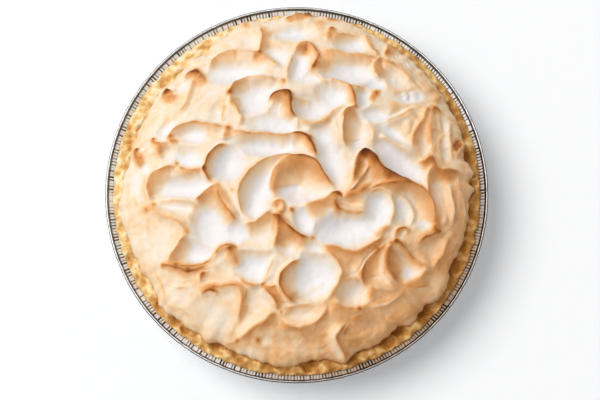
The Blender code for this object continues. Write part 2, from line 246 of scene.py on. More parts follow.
# One row for each hollow that the spoon pressed, in millimetres and degrees:
# x, y, half length, half width, heading, depth, how white it stays
DENTS = [
    (3, -3, 16, 11, 0, 5, 0.75),
    (-9, -5, 5, 5, 0, 1.5, 0.9),
    (-22, -4, 18, 9.5, 60, 4.5, 0.95),
    (-25, -16, 9, 6, 0, 3, 0.9),
    (-41, 11, 11, 11, 0, 7, 0.95),
    (-18, 21, 20, 7.5, -3, 4.5, 0.85),
    (1, 22, 4.5, 4, 0, 2.5, 0.6),
    (-26, 50, 12, 12, 0, 5, 0.75),
    (-22, 55, 12, 6, 20, 3, 0.65),
    (-12, 34, 19, 7.5, -5, 3.5, 0.88),
    (-9, 42, 8, 6.5, 0, 2.5, 0.6),
    (9, 44, 12, 9, 0, 5, 0.45),
    (20, 51, 12, 10, 60, 5, 0.9),
    (35, 30, 12, 8, 88, 5, 0.35),
    (19, 14, 20, 8, -72, 4, 0.6),
    (14, 27, 8, 7, 0, 3, 0.76),
    (66, -15, 14, 13, 0, 4, 0.35),
    (73, -24, 5, 6, 60, 2, 0.8),
    (61, -16, 8, 11, 0, 2.5, 0.3),
    (48, -15, 11, 8.5, 80, 4.5, 0.95),
    (31, -13, 6, 3, -10, 2, 0.35),
    (27, -28, 20, 10, 12, 5.5, 1),
    (44, -24, 8, 6, 30, 3.5, 0.9),
    (4, -23, 9, 6, -60, 3.5, 0.6),
    (-24, -31, 12, 7.5, 8, 3, 0.3),
    (-4, -38, 8, 7, 0, 3.5, 0.5),
    (12, -39, 8, 4, -10, 2, 0.65),
    (-50, -24, 18, 12, 100, 5.5, 0.85),
    (-58, -41, 15, 8, -14, 5, 0.85),
    (-37, -31, 12, 7, 20, 3.5, 0.95),
    (-66, -3, 20, 7.5, 0, 4.5, 0.75),
    (-70, -13.5, 17, 4.5, -15, 2.5, 0.5),
    (-83, -32, 15, 12, 70, 1.2, 0.25),
    (-64, 14.5, 10, 8, 0, 3.5, 0.85),
    (-75, 17, 7, 5, 0, 2, 0.5),
    (-61, 29, 11, 6.5, 0, 3.5, 0.7),
    (-77, 33, 8, 5, 50, 2.5, 0.85),
    (-46, 43, 8, 5, 60, 1.5, 0.5),
    (-86, 24, 4, 4.5, 0, 1.5, 0.7),
    (-92.5, 23, 2.5, 2, 0, 1.5, 0.8),
    (-90, 10, 4, 4, 0, 1.5, 0.8),
    (-96, 3, 10, 5.5, 95, 1.5, 0.6),
    (-38, 67, 19, 8, 3, 5, 0.88),
    (-68, 60, 5, 4.5, 40, 1.5, 0.6),
    (-54, 71, 4, 3, 0, 1, 0.4),
    (-30, 90, 8, 8, 0, 2, 0.3),
    (-12, 78, 9, 7, -30, 3, 0.5),
    (1, 71, 6, 11, -10, 3.5, 0.95),
    (5, 62, 10, 5, 10, 2, 0.55),
    (-2, 94, 15, 6.5, 5, 4.5, 0.5),
    (33, 87, 12, 7, 5, 4, 0.68),
    (31, 67, 17, 9, 0, 5, 0.9),
    (46, 61, 8, 5, -20, 2.5, 0.85),
    (39, 51, 5, 7, 0, 3, 0.85),
    (49, 88, 6, 8, 0, 1.5, 0.15),
    (60, 65, 9, 8, -30, 2, 0.35),
    (66.5, 53.5, 10, 5, 8, 2, 0.9),
    (46, 40, 10, 5.5, 10, 3, 0.7),
    (59, 42, 10, 3.5, 25, 2, 0.6),
    (56, 29, 11, 5, -36, 2.5, 0.8),
    (60, 12, 20, 8.5, -38, 5, 0.85),
    (75, 24, 9, 4.5, 85, 2, 0.4),
    (88, 22, 9, 3.2, 92, 1.5, 0.4),
    (88, 36, 7, 3, 100, 1.2, 0.4),
    (84, -6, 15, 6, 96, 4, 0.2),
    (95.5, 26.5, 4.5, 2.5, 35, 4, 0),
    (64, -47, 10, 11, 0, 5, 0.1),
    (66, -51, 8.5, 6.5, 20, 2, 0.9),
    (45, -50, 10, 7, 78, 4, 0.1),
    (50, -54, 5, 6, 0, 1.5, 0.4),
    (78, -38, 8, 7, 30, 2, 0.1),
    (8, -55, 15, 14, 0, 6, 0.85),
    (8, -66, 9, 4, 10, 2.5, 0.5),
    (33, -65, 10, 9, 0, 4.5, 0.4),
    (-25, -49, 13, 9.5, 0, 4.5, 0.8),
    (-41, -51, 7, 5, 0, 1.5, 0.15),
    (-48, -76, 14, 12, -20, 1.8, 0.35),
    (-70, -61, 12, 10, -40, 1.5, 0.3),
    (-23, -69, 9, 8, 50, 2, 0.15),
    (-28, -79, 13, 5, 45, 1, 0.4),
    (3, -77, 10, 5.5, 5, 2, 0.35),
    (-4, -93, 18, 8, 0, 2.2, 0),
    (-26, -97, 9, 4, -10, 1, 0.25),
    (-18, -91, 3.5, 3, 0, 1.2, 0.35),
    (43, -84, 10, 6.5, 10, 2, 0),
    (80, -56, 8, 6, 50, 2, 0.15),
]

# One row for each fold that the spoon drew up: its path (x, y, x, y, ...), with its hollow on the
# right, in millimetres; its height; its width on the hollow's side and behind; and how browned the
# hollow's side, the crest and the back are
CRESTS = [
    # the round bowl in the middle
    ((-11, -10.5, -15, -4.5, -14.3, 3, -10.5, 9.2, -4, 13.3, 4.5, 14.3, 9, 13.4),
     5.2, 18, 3, 0.42, 0.4, 0.2),
    ((-10.5, 9.2, -4, 13.3, 4.5, 14.3, 10.8, 12.6, 14.6, 7.6, 18.2, 1.6, 22, -4.5),
     5.2, 18, 2.5, 0.42, 0.62, 0.28),
    ((-27, -21, -31.5, -17, -33.5, -9, -32, -1, -27, 7, -19, 12.5, -11, 15.2, -3, 15.8, 4, 15),
     5, 7, 3.5, 0.22, 0.38, 0.2),
    ((3, -14, 10, -12.5, 16, -10.3, 20, -8, 23.5, -7), 3.5, 9, 2.5, 0.45, 0.4, 0.1),
    ((23, -8.5, 22.3, -11.5, 24, -15.8, 28, -17.6), 3.5, 4.5, 4, 0.56, 0.76, 0.42),
    ((24.5, -16.2, 29, -18, 35, -18.4, 41, -17.5), 3.2, 4, 5, 0.28, 0.38, 0.4),
    ((18.5, -9.5, 21, -7.4, 24, -6.8, 25.6, -8.7, 24.6, -11), 2.2, 1.8, 1.6, 0.55, 0.75, 0.6),
    ((-14.5, -15, -12, -12.3, -8.8, -12.6, -7.5, -16, -9.3, -19, -13, -18), 2.2, 2, 2, 0.3, 0.55, 0.3),
    ((-17, -19.5, -12, -20.5, -8, -23.3, -4, -26.5, 0, -29.3, 4.5, -31.6, 9, -33),
     4, 10, 3, 0.5, 0.72, 0.25),
    ((-13.5, -40, -11.6, -35, -10.5, -30, -11, -25, -12, -21), 3, 7, 3, 0.5, 0.5, 0.3),
    ((-31, -24.5, -24, -23.5, -18, -19.5, -13, -17.5), 3.5, 9, 3.5, 0.38, 0.45, 0.15),
    # upper middle
    ((-40, 31, -33, 29.6, -25, 28.8, -18, 29, -10, 28, -5, 27.6, 0, 28.8), 4.5, 7, 3, 0.24, 0.38, 0.16),
    ((-5, 28, 1, 28.6, 5.5, 26.8, 8.8, 23, 10.8, 19, 11.3, 14.5), 4.5, 5, 3, 0.44, 0.8, 0.3),
    ((-42, 24, -42, 28, -40, 31), 2.5, 7, 3, 0.46, 0.5, 0.25),
    ((-47, -0.5, -51, 2, -53.5, 7, -53, 12, -50, 18, -45, 21.8, -39, 22.3),
     5, 4.5, 2.5, 0.38, 0.62, 0.28),
    ((-33, 39, -36, 45, -38.8, 50, -39.5, 54), 4, 4, 2.5, 0.25, 0.48, 0.26),
    ((-39.5, 54, -37.5, 59, -33, 62.6, -26, 64), 4.5, 6, 3, 0.4, 0.5, 0.16),
    ((-32, 63, -26, 64, -18, 63.5, -11, 61.5), 4, 7, 3, 0.18, 0.28, 0.12),
    ((-38.6, 50, -37.4, 47.5, -36, 45), 1, 1.5, 1.5, 0.45, 0.6, 0.4),
    ((-33.5, 41, -32.5, 37, -34, 33), 2, 2.5, 2.5, 0.2, 0.35, 0.2),
    ((-43.5, 35.5, -43.6, 41, -43.3, 46), 1, 1.8, 1.8, 0.28, 0.4, 0.28),
    ((-17, 48, -13.8, 52.8, -9, 55, -5.3, 53.8, -3.6, 50, -3, 45.5, -1.8, 41.5, 1, 38),
     6, 9, 2.5, 0.46, 0.74, 0.25),
    ((-5, 54, -3.3, 50, -2.8, 46), 1, 2.5, 2.5, 0.6, 0.78, 0.5),
    ((0.8, 38.5, 0.5, 34.5, -1, 30.5), 3, 4, 4, 0.2, 0.2, 0.2),
    ((-2, 50, 3, 49.6, 9, 48.8), 1.5, 6, 2, 0.32, 0.34, 0.2),
    ((30, 46.5, 24.5, 43.8, 20, 40, 16, 36.3, 10, 34.3, 4, 35.7, 0, 39), 3.5, 2.6, 3, 0.2, 0.36, 0.24),
    ((17, 62, 22, 62.7, 27, 61.3, 31.5, 58.5), 4, 6, 3, 0.22, 0.34, 0.16),
    ((28, 61.2, 31.5, 58.5, 33.6, 54.5, 34.7, 50, 35, 45), 4.5, 5, 2.2, 0.4, 0.64, 0.3),
    ((31, 59.5, 35, 58.3, 40, 56.5), 2.5, 3, 3, 0.3, 0.4, 0.1),
    ((29.5, 19.5, 27.6, 24, 26.9, 30, 27.3, 36, 29.5, 41, 33, 44.2, 36, 45.8),
     5.5, 12, 4, 0.36, 0.42, 0.16),
    ((27, 37, 29.5, 41.5, 33, 44.4, 35.5, 45.5), 3, 7, 3, 0.42, 0.56, 0.32),
    ((24, 18, 24.5, 24, 24, 31, 22, 38), 2, 3, 4, 0.15, 0.12, 0.1),
    # right of the middle: the tall brown curl and the nested bowls
    ((42, 12, 39.5, 6, 36, 1, 33, -3, 29.5, -7.5), 3.5, 3.5, 4, 0.34, 0.06, 0.54),
    ((31, -2, 33, 4, 34, 9, 34.3, 14, 36.6, 17.2, 40.5, 18.2, 46, 15.5), 6, 4.5, 2.5, 0.4, 0.55, 0.15),
    ((35.5, 15.5, 37, 17.3, 40, 18, 44.3, 16, 47, 12.8, 51, 8.5, 57, 5, 64, 2.2, 71, 0.3),
     6.5, 11, 3, 0.56, 0.74, 0.1),
    ((26, -9.5, 31, -8.7, 35, -7.5, 39, -5, 43, -1), 3, 3, 6, 0.35, 0.5, 0.58),
    ((40, -7.5, 44, -4, 50, -1.3, 57, -0.6, 65, -0.3, 71, -1.7, 76, -5, 79, -10, 80.6, -17, 81, -25),
     4.5, 9, 3, 0.44, 0.58, 0.5),
    ((68, -1.6, 74, -4.5, 78.5, -10, 80, -17, 80, -24), 0.5, 15, 2, 0.4, 0.5, 0.4),
    ((41, -8.5, 46, -5.3, 51, -5.2, 55, -8.3, 56.7, -14, 56, -20, 53, -26), 3, 4, 2, 0.12, 0.34, 0.16),
    ((57, -5.5, 63, -8.7, 67, -14.5, 67.6, -20, 65, -25), 2.6, 5, 2.5, 0.14, 0.3, 0.2),
    ((56.8, -33, 57.3, -30, 59, -27, 62, -25.7, 64.3, -27.5, 63.3, -30), 2.5, 2.5, 2, 0.45, 0.6, 0.35),
    ((55, -25.5, 51, -28, 47.5, -31, 44, -34.5), 2.5, 3, 3, 0.42, 0.42, 0.4),
    ((86, -26.3, 80, -29.3, 74.5, -31.8, 71, -36), 3, 5, 4, 0.4, 0.58, 0.4),
    ((79.8, -22, 80.8, -26, 84.5, -27.5), 2.5, 2.5, 2.5, 0.6, 0.68, 0.5),
    # right flank
    ((70.5, 12.3, 74.5, 14, 79, 15.7, 81.5, 12, 86, 9.4, 92, 9.6, 98, 9), 3.5, 9, 4, 0.55, 0.5, 0.3),
    ((78, -9, 76.4, -2, 76.3, 4, 78, 9, 80, 13), 2.5, 5, 3, 0.42, 0.45, 0.2),
    ((89.5, 1, 91.8, -8, 92.8, -15, 91.5, -24), 3, 4, 3, 0.22, 0.15, 0.5),
    ((96.5, -1, 99, -9, 99.6, -16, 98.5, -24), 3, 4, 3, 0.4, 0.14, 0.46),
    ((101, 30, 100, 26, 97, 22.8, 94.8, 18.5), 4, 2.5, 3, 0.75, 0.08, 0.5),
    ((92.5, 22, 93.2, 26, 96, 28.8, 100, 30), 3, 2.5, 3, 0.8, 0.6, 0.4),
    ((69.5, 14.5, 64, 19.3, 58, 23.2, 52, 25.8, 46.5, 27), 3, 5, 3, 0.1, 0.2, 0.15),
    ((44.5, 22, 45, 26, 44, 31, 40.5, 37), 2.5, 3, 4, 0.15, 0.25, 0.12),
    ((51, 36, 56.5, 38.5, 62, 41.7, 66, 44.3, 70.5, 46.7), 2.2, 5, 3, 0.34, 0.5, 0.2),
    ((50, 33.5, 56, 36, 63, 40), 1.2, 3, 2, 0.2, 0.12, 0.1),
    ((80.5, 50.5, 76.8, 45, 74.3, 39, 71, 33.5, 69, 27, 68, 20), 2.6, 3, 5, 0.22, 0.46, 0.46),
    ((66, 40, 66.5, 34, 65.5, 27), 1.5, 4, 3, 0.25, 0.2, 0.35),
    ((84, 50, 80.5, 44, 79, 37, 78.5, 30, 77, 22), 2.2, 4, 5, 0.34, 0.36, 0.4),
    ((93, 41, 90.5, 35, 90.5, 28, 91.5, 20), 2.5, 4, 3, 0.12, 0.15, 0.45),
    ((78, 44, 82, 47.5, 86, 44), 2, 4, 3, 0.5, 0.6, 0.35),
    # upper right
    ((49.5, 64, 46.5, 68.7, 46, 73.5, 49.5, 77.2), 4, 6, 2.5, 0.46, 0.45, 0.15),
    ((49.5, 77.2, 55, 75, 61, 72, 65.5, 68, 68.8, 62), 3.2, 5, 5, 0.25, 0.42, 0.36),
    ((51, 79.5, 54.3, 84.5, 55.3, 89, 58.5, 93), 3, 5, 3, 0.62, 0.55, 0.25),
    ((43.5, 97.5, 42.5, 92.5, 44, 87, 47, 82, 50, 78.5), 2.5, 4, 4, 0.25, 0.46, 0.38),
    ((63.5, 57, 65.4, 54.2, 64, 51), 1.2, 2.2, 1.8, 0.2, 0.25, 0.15),
    ((68.5, 58, 70.3, 54, 69.7, 50), 1, 3, 3, 0.2, 0.3, 0.2),
    ((78, 62, 84, 59, 86.5, 55, 83, 50), 2, 5, 3, 0.36, 0.42, 0.36),
    ((14, 80.5, 22, 80.8, 30, 79.7, 40, 78.8, 48.5, 77.5), 3, 6, 4, 0.32, 0.35, 0.28),
    ((17.5, 88.5, 19.5, 93, 21.5, 97, 23.5, 93.5, 30, 93.5, 38, 93), 2.5, 5, 3, 0.3, 0.42, 0.3),
    ((16, 104.5, 22, 106.2, 28, 105), 2, 3.5, 2, 0.52, 0.62, 0.35),
    ((8, 99.5, 14, 101.5, 20, 101), 0.6, 6, 6, 0.36, 0.36, 0.36),
    # upper left
    ((-1.5, 79, 0.3, 84.3, 4, 87.2, 8, 86.4), 4.2, 5, 3, 0.36, 0.3, 0.2),
    ((4, 87.2, 8, 86.4, 11.2, 82.5, 13.6, 77.5), 3.4, 3.5, 2.5, 0.36, 0.6, 0.3),
    ((13.6, 78, 11.8, 74.5, 10.2, 71, 8.3, 67), 3.5, 3, 8, 0.32, 0.75, 0.62),
    ((19, 59.5, 14, 64.5, 10, 69), 2, 3, 3, 0.12, 0.15, 0.3),
    ((-5.5, 60, -5.5, 67, -4, 74, -1.5, 79.5), 2, 4, 3, 0.12, 0.28, 0.2),
    ((-22, 80, -21.7, 86, -20.5, 91, -21.5, 96, -23, 101), 3, 5, 3, 0.42, 0.5, 0.2),
    ((-22, 79.7, -17, 77, -13, 73.5, -9.5, 70), 2.5, 5, 3, 0.28, 0.38, 0.2),
    ((-53, 71, -49.5, 77, -45, 80, -38, 81.6, -32, 81.4), 4, 6, 3, 0.34, 0.38, 0.2),
    ((-38, 81.6, -30, 81.2, -22, 80), 3, 5, 3, 0.14, 0.22, 0.16),
    ((-9, 104.5, -3, 107.2, 1.5, 109.3, 5.5, 110.3, 8, 108.7, 10, 105.5), 3.5, 6.5, 2, 0.58, 0.74, 0.4),
    ((-31.5, 107, -31, 102.5, -30.5, 97.5), 2, 3, 3, 0.45, 0.52, 0.35),
    ((-67, 66, -65, 69.3, -62, 70.3, -58.5, 68.8, -55.5, 65), 4.5, 5, 2.5, 0.42, 0.95, 0.3),
    ((-61, 67, -62, 60.5, -63.5, 54.5, -65.5, 48.5, -70.5, 43), 2.2, 3, 2.5, 0.17, 0.42, 0.22),
    ((-80, 54, -79.8, 58, -77.7, 60, -75.3, 58.5, -74.8, 55.5), 3, 1.5, 1.8, 0.45, 0.8, 0.35),
    ((-79, 55.3, -75, 55.3, -71.5, 53.5), 2, 4, 1.5, 0.48, 0.55, 0.15),
    ((-86.5, 29, -83.2, 26, -79.5, 24.6, -74.5, 25), 3, 6, 2.5, 0.42, 0.56, 0.14),
    ((-81.7, 24, -80.8, 19.5, -80.3, 15), 2, 3, 3, 0.4, 0.48, 0.38),
    ((-93.3, 23.5, -96, 23.3, -95.8, 19.5, -94.4, 15, -92.5, 10.5), 3.2, 2.5, 5, 0.45, 0.6, 0.58),
    ((-75.5, 26, -74.3, 30.3, -71, 33.5, -66.5, 35.8, -61, 36.6, -55, 35.3, -48, 34.3, -41, 32.3),
     3.8, 5, 3, 0.28, 0.42, 0.15),
    ((-75.5, 27, -72.5, 24.7, -69, 24), 1.5, 2, 2, 0.45, 0.58, 0.4),
    ((-53, 26, -51.3, 30, -52.5, 34), 1.2, 3, 3, 0.2, 0.3, 0.3),
    ((-54, 8.5, -58, 7.5, -62, 7, -67, 8.5, -70.7, 12), 3.5, 3, 5, 0.24, 0.48, 0.42),
    ((-85.5, -9.5, -87, -4, -87.2, 1, -85, 6, -80, 9.2, -74.5, 10.5, -70, 9.5),
     4, 7, 2.5, 0.42, 0.46, 0.2),
    # left and lower left
    ((-84, -10.5, -75, -10.2, -66, -10.3, -60, -9.8), 2, 3, 3, 0.2, 0.22, 0.15),
    ((-61, -10, -57, -8, -52, -4.6, -46, -2.5), 4, 10, 3, 0.44, 0.54, 0.1),
    ((-46, -2.5, -44.5, -8, -42, -13, -39, -18, -34, -23.5), 4.2, 8, 6, 0.44, 0.56, 0.36),
    ((-75.5, -45.5, -71.5, -38.5, -67.5, -33.5, -64, -29), 5, 9, 3.5, 0.38, 0.44, 0.24),
    ((-64, -29, -66.5, -24.5, -72, -20.6, -79, -18.5, -84, -15.2, -88.5, -14),
     3, 4, 4, 0.24, 0.33, 0.3),
    ((-64, -29, -61.5, -24, -60, -18, -60, -13), 0.8, 4, 4, 0.18, 0.2, 0.18),
    ((-30, -39.5, -35, -38.3, -39, -36.3, -43.3, -37.8, -47.2, -41.7, -50.7, -45.5, -57, -48.2,
      -65, -48.3, -72, -46, -76, -43.5),
     4, 2.5, 5, 0.3, 0.54, 0.42),
    ((-80, -48.3, -75, -47.3, -69, -48.8, -64, -51.3, -59, -51, -55, -49, -51, -47.5),
     1.8, 3.2, 3.2, 0.46, 0.62, 0.48),
    ((-45.5, -40, -47.5, -43.5, -50, -47), 1.5, 3, 3, 0.3, 0.15, 0.3),
    ((-38, -39, -30, -40.8, -20, -40.6, -12.5, -41), 1.5, 4, 3, 0.2, 0.22, 0.1),
    ((-38.5, -39, -36, -44, -32, -50), 2, 5, 6, 0.45, 0.45, 0.42),
    ((-12, -43.5, -15, -50, -18, -57, -19.7, -60.5), 2.5, 4, 4, 0.15, 0.35, 0.14),
    ((-20, -60.3, -25.5, -59.8, -30.5, -58, -34, -54.5), 2, 3, 3, 0.15, 0.42, 0.4),
    ((-55, -59.5, -55.2, -55, -54, -52.5, -49.5, -52.8), 2, 4, 2, 0.42, 0.62, 0.3),
    ((-54, -60.7, -46, -60.5, -38, -59.5, -33, -60.8, -31.4, -66, -32.2, -73, -34, -81),
     3.2, 4, 4, 0.24, 0.5, 0.44),
    ((-55.7, -65.5, -52.5, -62.9, -49, -62.3, -44.5, -64.8), 2.6, 3, 5, 0.2, 0.78, 0.62),
    ((-83, -51, -79.3, -57, -77.3, -63, -76.5, -70), 1.5, 4, 3, 0.25, 0.34, 0.2),
    ((-72, -73.5, -67, -72, -63.5, -75.5, -62, -80), 1.2, 3, 3, 0.25, 0.25, 0.2),
    ((-29, -60, -29.2, -65, -30, -70), 1.2, 3, 3, 0.3, 0.52, 0.3),
    # bottom
    ((1.5, -70, -3, -68.5, -7, -64.5, -9.2, -60, -9.2, -55, -7, -50.5, -3, -46.5, 3, -43.5),
     5.5, 7.5, 3, 0.44, 0.58, 0.3),
    ((13, -39.5, 18, -41.5, 22, -45.5, 25.7, -51.7, 24, -57, 20, -63, 16, -69),
     3.5, 4, 6, 0.1, 0.16, 0.5),
    ((52, -29, 46, -34, 40, -38, 34, -40.3, 28, -40.3, 23, -38.3, 18, -37.8, 13, -35.3),
     3.5, 2.2, 9, 0.1, 0.46, 0.56),
    ((41, -42, 37, -47, 34.5, -52.5), 1.5, 3, 3, 0.4, 0.2, 0.3),
    ((41, -69, 37.5, -72.5, 31, -73, 25, -71.2, 19, -68.5), 3.5, 3, 8, 0.2, 0.44, 0.44),
    ((22.5, -69, 22.5, -63, 26, -58.5, 33, -57, 38, -59), 2, 5, 3, 0.2, 0.3, 0.4),
    ((42.5, -58.5, 43.6, -63.5, 41.8, -69), 2, 3, 3, 0.5, 0.5, 0.35),
    ((5, -61.5, 10, -61, 16, -58.5), 1.2, 3, 4, 0.1, 0.18, 0.05),
    ((18, -70, 15.2, -76, 11, -80, 5, -82.8, -1, -83, -6, -81.5, -10, -78), 3.2, 5, 6, 0.2, 0.24, 0.54),
    ((-10, -72, -4, -73, 3, -72, 10, -71), 1.2, 4, 3, 0.3, 0.38, 0.15),
    ((-20, -60.5, -16.3, -63.6, -12.6, -68, -11, -74), 3.5, 4, 7, 0.18, 0.58, 0.58),
    ((-20, -61, -14.5, -61.7, -9.5, -60.5), 2, 3, 3, 0.5, 0.5, 0.25),
    ((-10.5, -74.5, -15, -76.7, -20, -80, -26, -83.3, -30.3, -87, -34.5, -91.5),
     3.5, 6, 8, 0.15, 0.3, 0.54),
    ((29.5, -80, 25.3, -84, 22.3, -88.5, 24, -94, 27.5, -99, 27, -103.5), 4, 4, 5, 0.1, 0.22, 0.6),
    ((30.3, -80.5, 29.7, -84, 27.6, -87, 25, -89), 1.5, 1.5, 2.2, 0.35, 0.62, 0.5),
    ((26, -89.5, 32, -90, 39, -88, 46, -84), 1.8, 5, 3, 0.48, 0.36, 0.42),
    ((10, -101.5, 16, -99.5, 22, -97.5), 1.8, 3, 4, 0.4, 0.25, 0.45),
    ((-43, -92.5, -38, -92.5, -33, -91.5), 1.5, 3, 3, 0.4, 0.42, 0.25),
    ((31, -79, 36, -77.3, 39.5, -76), 1.5, 4, 3, 0.5, 0.5, 0.4),
    ((35, -94.5, 42, -91, 48.5, -87, 51.5, -82, 49, -78), 1.8, 5, 4, 0.44, 0.32, 0.45),
    ((38, -93, 43.5, -89, 47, -85, 46, -81), 1.2, 3, 3, 0.42, 0.3, 0.42),
    # lower right
    ((60, -58, 55.3, -54.7, 52, -49.7, 51.4, -43, 53, -38, 57, -34.5), 5, 13, 4, 0.52, 0.46, 0.28),
    ((55, -35, 60, -35, 65, -39.3, 69, -44.3, 74, -48, 79.5, -49.3), 4.2, 5, 3, 0.48, 0.6, 0.35),
    ((79.5, -49.5, 74, -51.8, 69, -55, 64, -57, 60, -57.5), 2.8, 3, 6, 0.15, 0.3, 0.5),
    ((40.5, -60.5, 37.3, -55.5, 38.5, -49.7, 42, -44, 46, -39.7, 52.5, -35),
     4.5, 13, 3, 0.5, 0.58, 0.25),
    ((90.5, -28.5, 87, -36, 84.5, -42, 80, -48.7), 3, 4, 4, 0.32, 0.42, 0.48),
    ((97, -33, 92, -38, 89.5, -45, 88.5, -53), 2.5, 4, 3, 0.44, 0.4, 0.45),
    ((61.5, -62.5, 57, -66.5, 52, -70, 42, -71.7), 2, 3, 3, 0.45, 0.1, 0.45),
    ((58, -61, 53.5, -62, 48, -61.3, 42, -60.5), 1.5, 3, 3, 0.3, 0.2, 0.4),
    ((80, -59, 70, -60, 62, -62.5), 1.8, 6, 4, 0.48, 0.45, 0.35),
    ((72, -69, 66.5, -74.5, 60, -78.5, 50, -79.5), 1.8, 5, 4, 0.46, 0.32, 0.48),
    ((85, -58, 81, -64.5, 74, -68.5), 1.8, 4, 4, 0.3, 0.2, 0.4),
    ((94, 8, 95.5, 0, 96, -8, 95, -18), 1.5, 2, 2, 0.45, 0.25, 0.4),
    ((90, -28, 95, -31, 98, -36), 1.3, 2, 2, 0.4, 0.3, 0.4),
    ((87, -30, 84, -36, 81, -40), 1.3, 2.5, 2, 0.3, 0.25, 0.3),
    ((96, 47, 95, 41, 96, 35), 1.3, 2, 2, 0.4, 0.25, 0.35),
    ((84, -2, 86, -10, 87, -18, 85, -25), 1.5, 3, 3, 0.28, 0.2, 0.3),
    # small ones on the left
    ((-89, 6, -89.2, 0, -88.7, -6, -88, -12), 0.8, 3, 2, 0.26, 0.28, 0.24),
    ((-72, -59.5, -67, -60.5, -62, -60), 0.8, 2.5, 2, 0.3, 0.34, 0.2),
]

# One row for each peak that the spoon pulled up, in millimetres and degrees:
# x, y, height, radius at its foot, side it curls to, how far it curls, browning
PEAKS = [
    (24, -8.3, 1.5, 3.2, 200, 0.4, 0.88),
    (39, 15.5, 2, 4.4, 80, 0.8, 0.98),
    (45, 12.8, 1.3, 4.6, 60, 0.5, 0.86),
    (53, 4, 1, 4.5, 0, 0.3, 0.78),
    (36.6, 10, 0.5, 3.5, 0, 0, 0.6),
    (-3.3, -17.2, 1.5, 2.9, 0, 0.3, 0.92),
    (-10, -22, 1.5, 5.5, 30, 0.3, 0.78),
    (9, -33, 1.5, 3, 0, 0.3, 0.7),
    (8, 25, 2, 3.8, 45, 0.8, 0.8),
    (-5, 52.5, 2, 4.5, 45, 0.8, 0.85),
    (-39.6, 54, 2, 4.2, 150, 0.4, 0.92),
    (-40.3, 31.5, 2, 4, 120, 0.4, 0.82),
    (-53.5, 7.3, 2.5, 3, 180, 0.5, 0.9),
    (-43.5, 45, 1, 4, 0, 0.2, 0.5),
    (-8.3, 61, 1.5, 2.8, 0, 0.3, 0.65),
    (4.5, 82.5, 0.5, 4.5, 0, 0, 0.68),
    (12.5, 77, 1.5, 3, 0, 0.5, 0.7),
    (-22.2, 80, 2.5, 3.2, 90, 0.6, 0.85),
    (-23.5, 78, 1, 5.5, 0, 0, 0.55),
    (-60.5, 69.5, 2, 5, 90, 0.6, 0.95),
    (-56.8, 63.5, 1, 5, 0, 0.2, 0.6),
    (-78.2, 58.6, 3, 3, 60, 1, 0.95),
    (-77, 53.5, 0.4, 5.5, 0, 0.2, 0.6),
    (-95.6, 23, 3, 2.3, 60, 1, 0.98),
    (-93.8, 16.5, 1, 5, 0, 0.2, 0.62),
    (-84.6, 27, 2, 3.2, 110, 0.8, 0.82),
    (-80.8, 21.5, 1.2, 4, 0, 0.3, 0.58),
    (-74.3, 27.5, 1.5, 3.5, 0, 0.4, 0.78),
    (-71.5, 24.5, 1, 2.5, 0, 0.2, 0.6),
    (-70.8, 11.5, 1.5, 3, 100, 0.4, 0.7),
    (-88.8, -14.3, 1.5, 4, 180, 0.5, 0.66),
    (-84.3, -12.3, 1.5, 3.6, 0, 0.3, 0.64),
    (-64, -29, 1.5, 4, 0, 0.5, 0.6),
    (-59, -14, 0.5, 4, 0, 0, 0.48),
    (-46, -3.5, 1.5, 5.5, 90, 0.4, 0.62),
    (-38.2, -39.6, 2, 5.2, 100, 0.4, 0.9),
    (-78, -48, 1.5, 3, 0, 0.3, 0.7),
    (-70.5, -47.3, 1.5, 3.6, 0, 0.3, 0.72),
    (-63.3, -51, 1.5, 3, 0, 0.3, 0.8),
    (-54.4, -54, 1.5, 3, 0, 0.3, 0.72),
    (-19.3, -60.5, 1.5, 3, 120, 0.3, 0.86),
    (-11.3, -73, 1.2, 2.6, 0, 0.3, 0.55),
    (-9, -75.5, 1, 2, 0, 0.2, 0.62),
    (-34.2, -91.3, 1.5, 2.6, 200, 0.3, 0.75),
    (-22.8, -91, 0.8, 2.8, 0, 0.2, 0.84),
    (36, -72.7, 1.5, 2.4, 0, 0.3, 0.85),
    (57.5, -35, 2, 3.6, 60, 0.5, 0.98),
    (46, -39.5, 1, 4, 120, 0.3, 0.75),
    (37.5, -54, 1, 4.5, 0, 0.2, 0.66),
    (82, -26, 1.5, 4.5, 0, 0.3, 0.6),
    (92.5, -29, 1, 3.5, 0, 0.2, 0.6),
    (79, 14.4, 2, 3.6, 90, 0.5, 0.62),
    (81.5, 47.5, 1.5, 4, 60, 0.3, 0.64),
    (82.5, 52.5, 1.2, 3, 60, 0.3, 0.5),
    (46.8, 53.8, 1.5, 4, 60, 0.3, 0.8),
    (49.3, 76.5, 2, 3.5, 80, 0.5, 0.66),
    (21.5, 96.5, 2, 3, 100, 0.6, 0.75),
    (20, 93, 0.5, 5, 0, 0, 0.56),
    (6.5, 108.6, 1.5, 4, 60, 0.3, 0.86),
    (59, 87, 1, 3.5, 0, 0.2, 0.62),
    (35, 44.8, 1.5, 3, 60, 0.4, 0.78),
    (17, 36, 0.8, 4, 0, 0.2, 0.46),
    (54.3, -36, 0.8, 2.4, 0, 0.2, 0.85),
    (-11.6, -15.3, 0.5, 3.6, 0, 0, 0.62),
    (44.6, 51.3, 0.8, 3.4, 0, 0.2, 0.66),
    (48.8, 55.2, 0.8, 2.6, 0, 0.2, 0.58),
    (57.5, 47, 0.8, 4.5, 0, 0.2, 0.46),
    (-37, -5.5, 0.6, 3, 0, 0, 0.52),
    (-65, -57.5, 0.6, 2.2, 0, 0.1, 0.44),
    (-61, -65, 0.5, 2.5, 0, 0.1, 0.36),
]
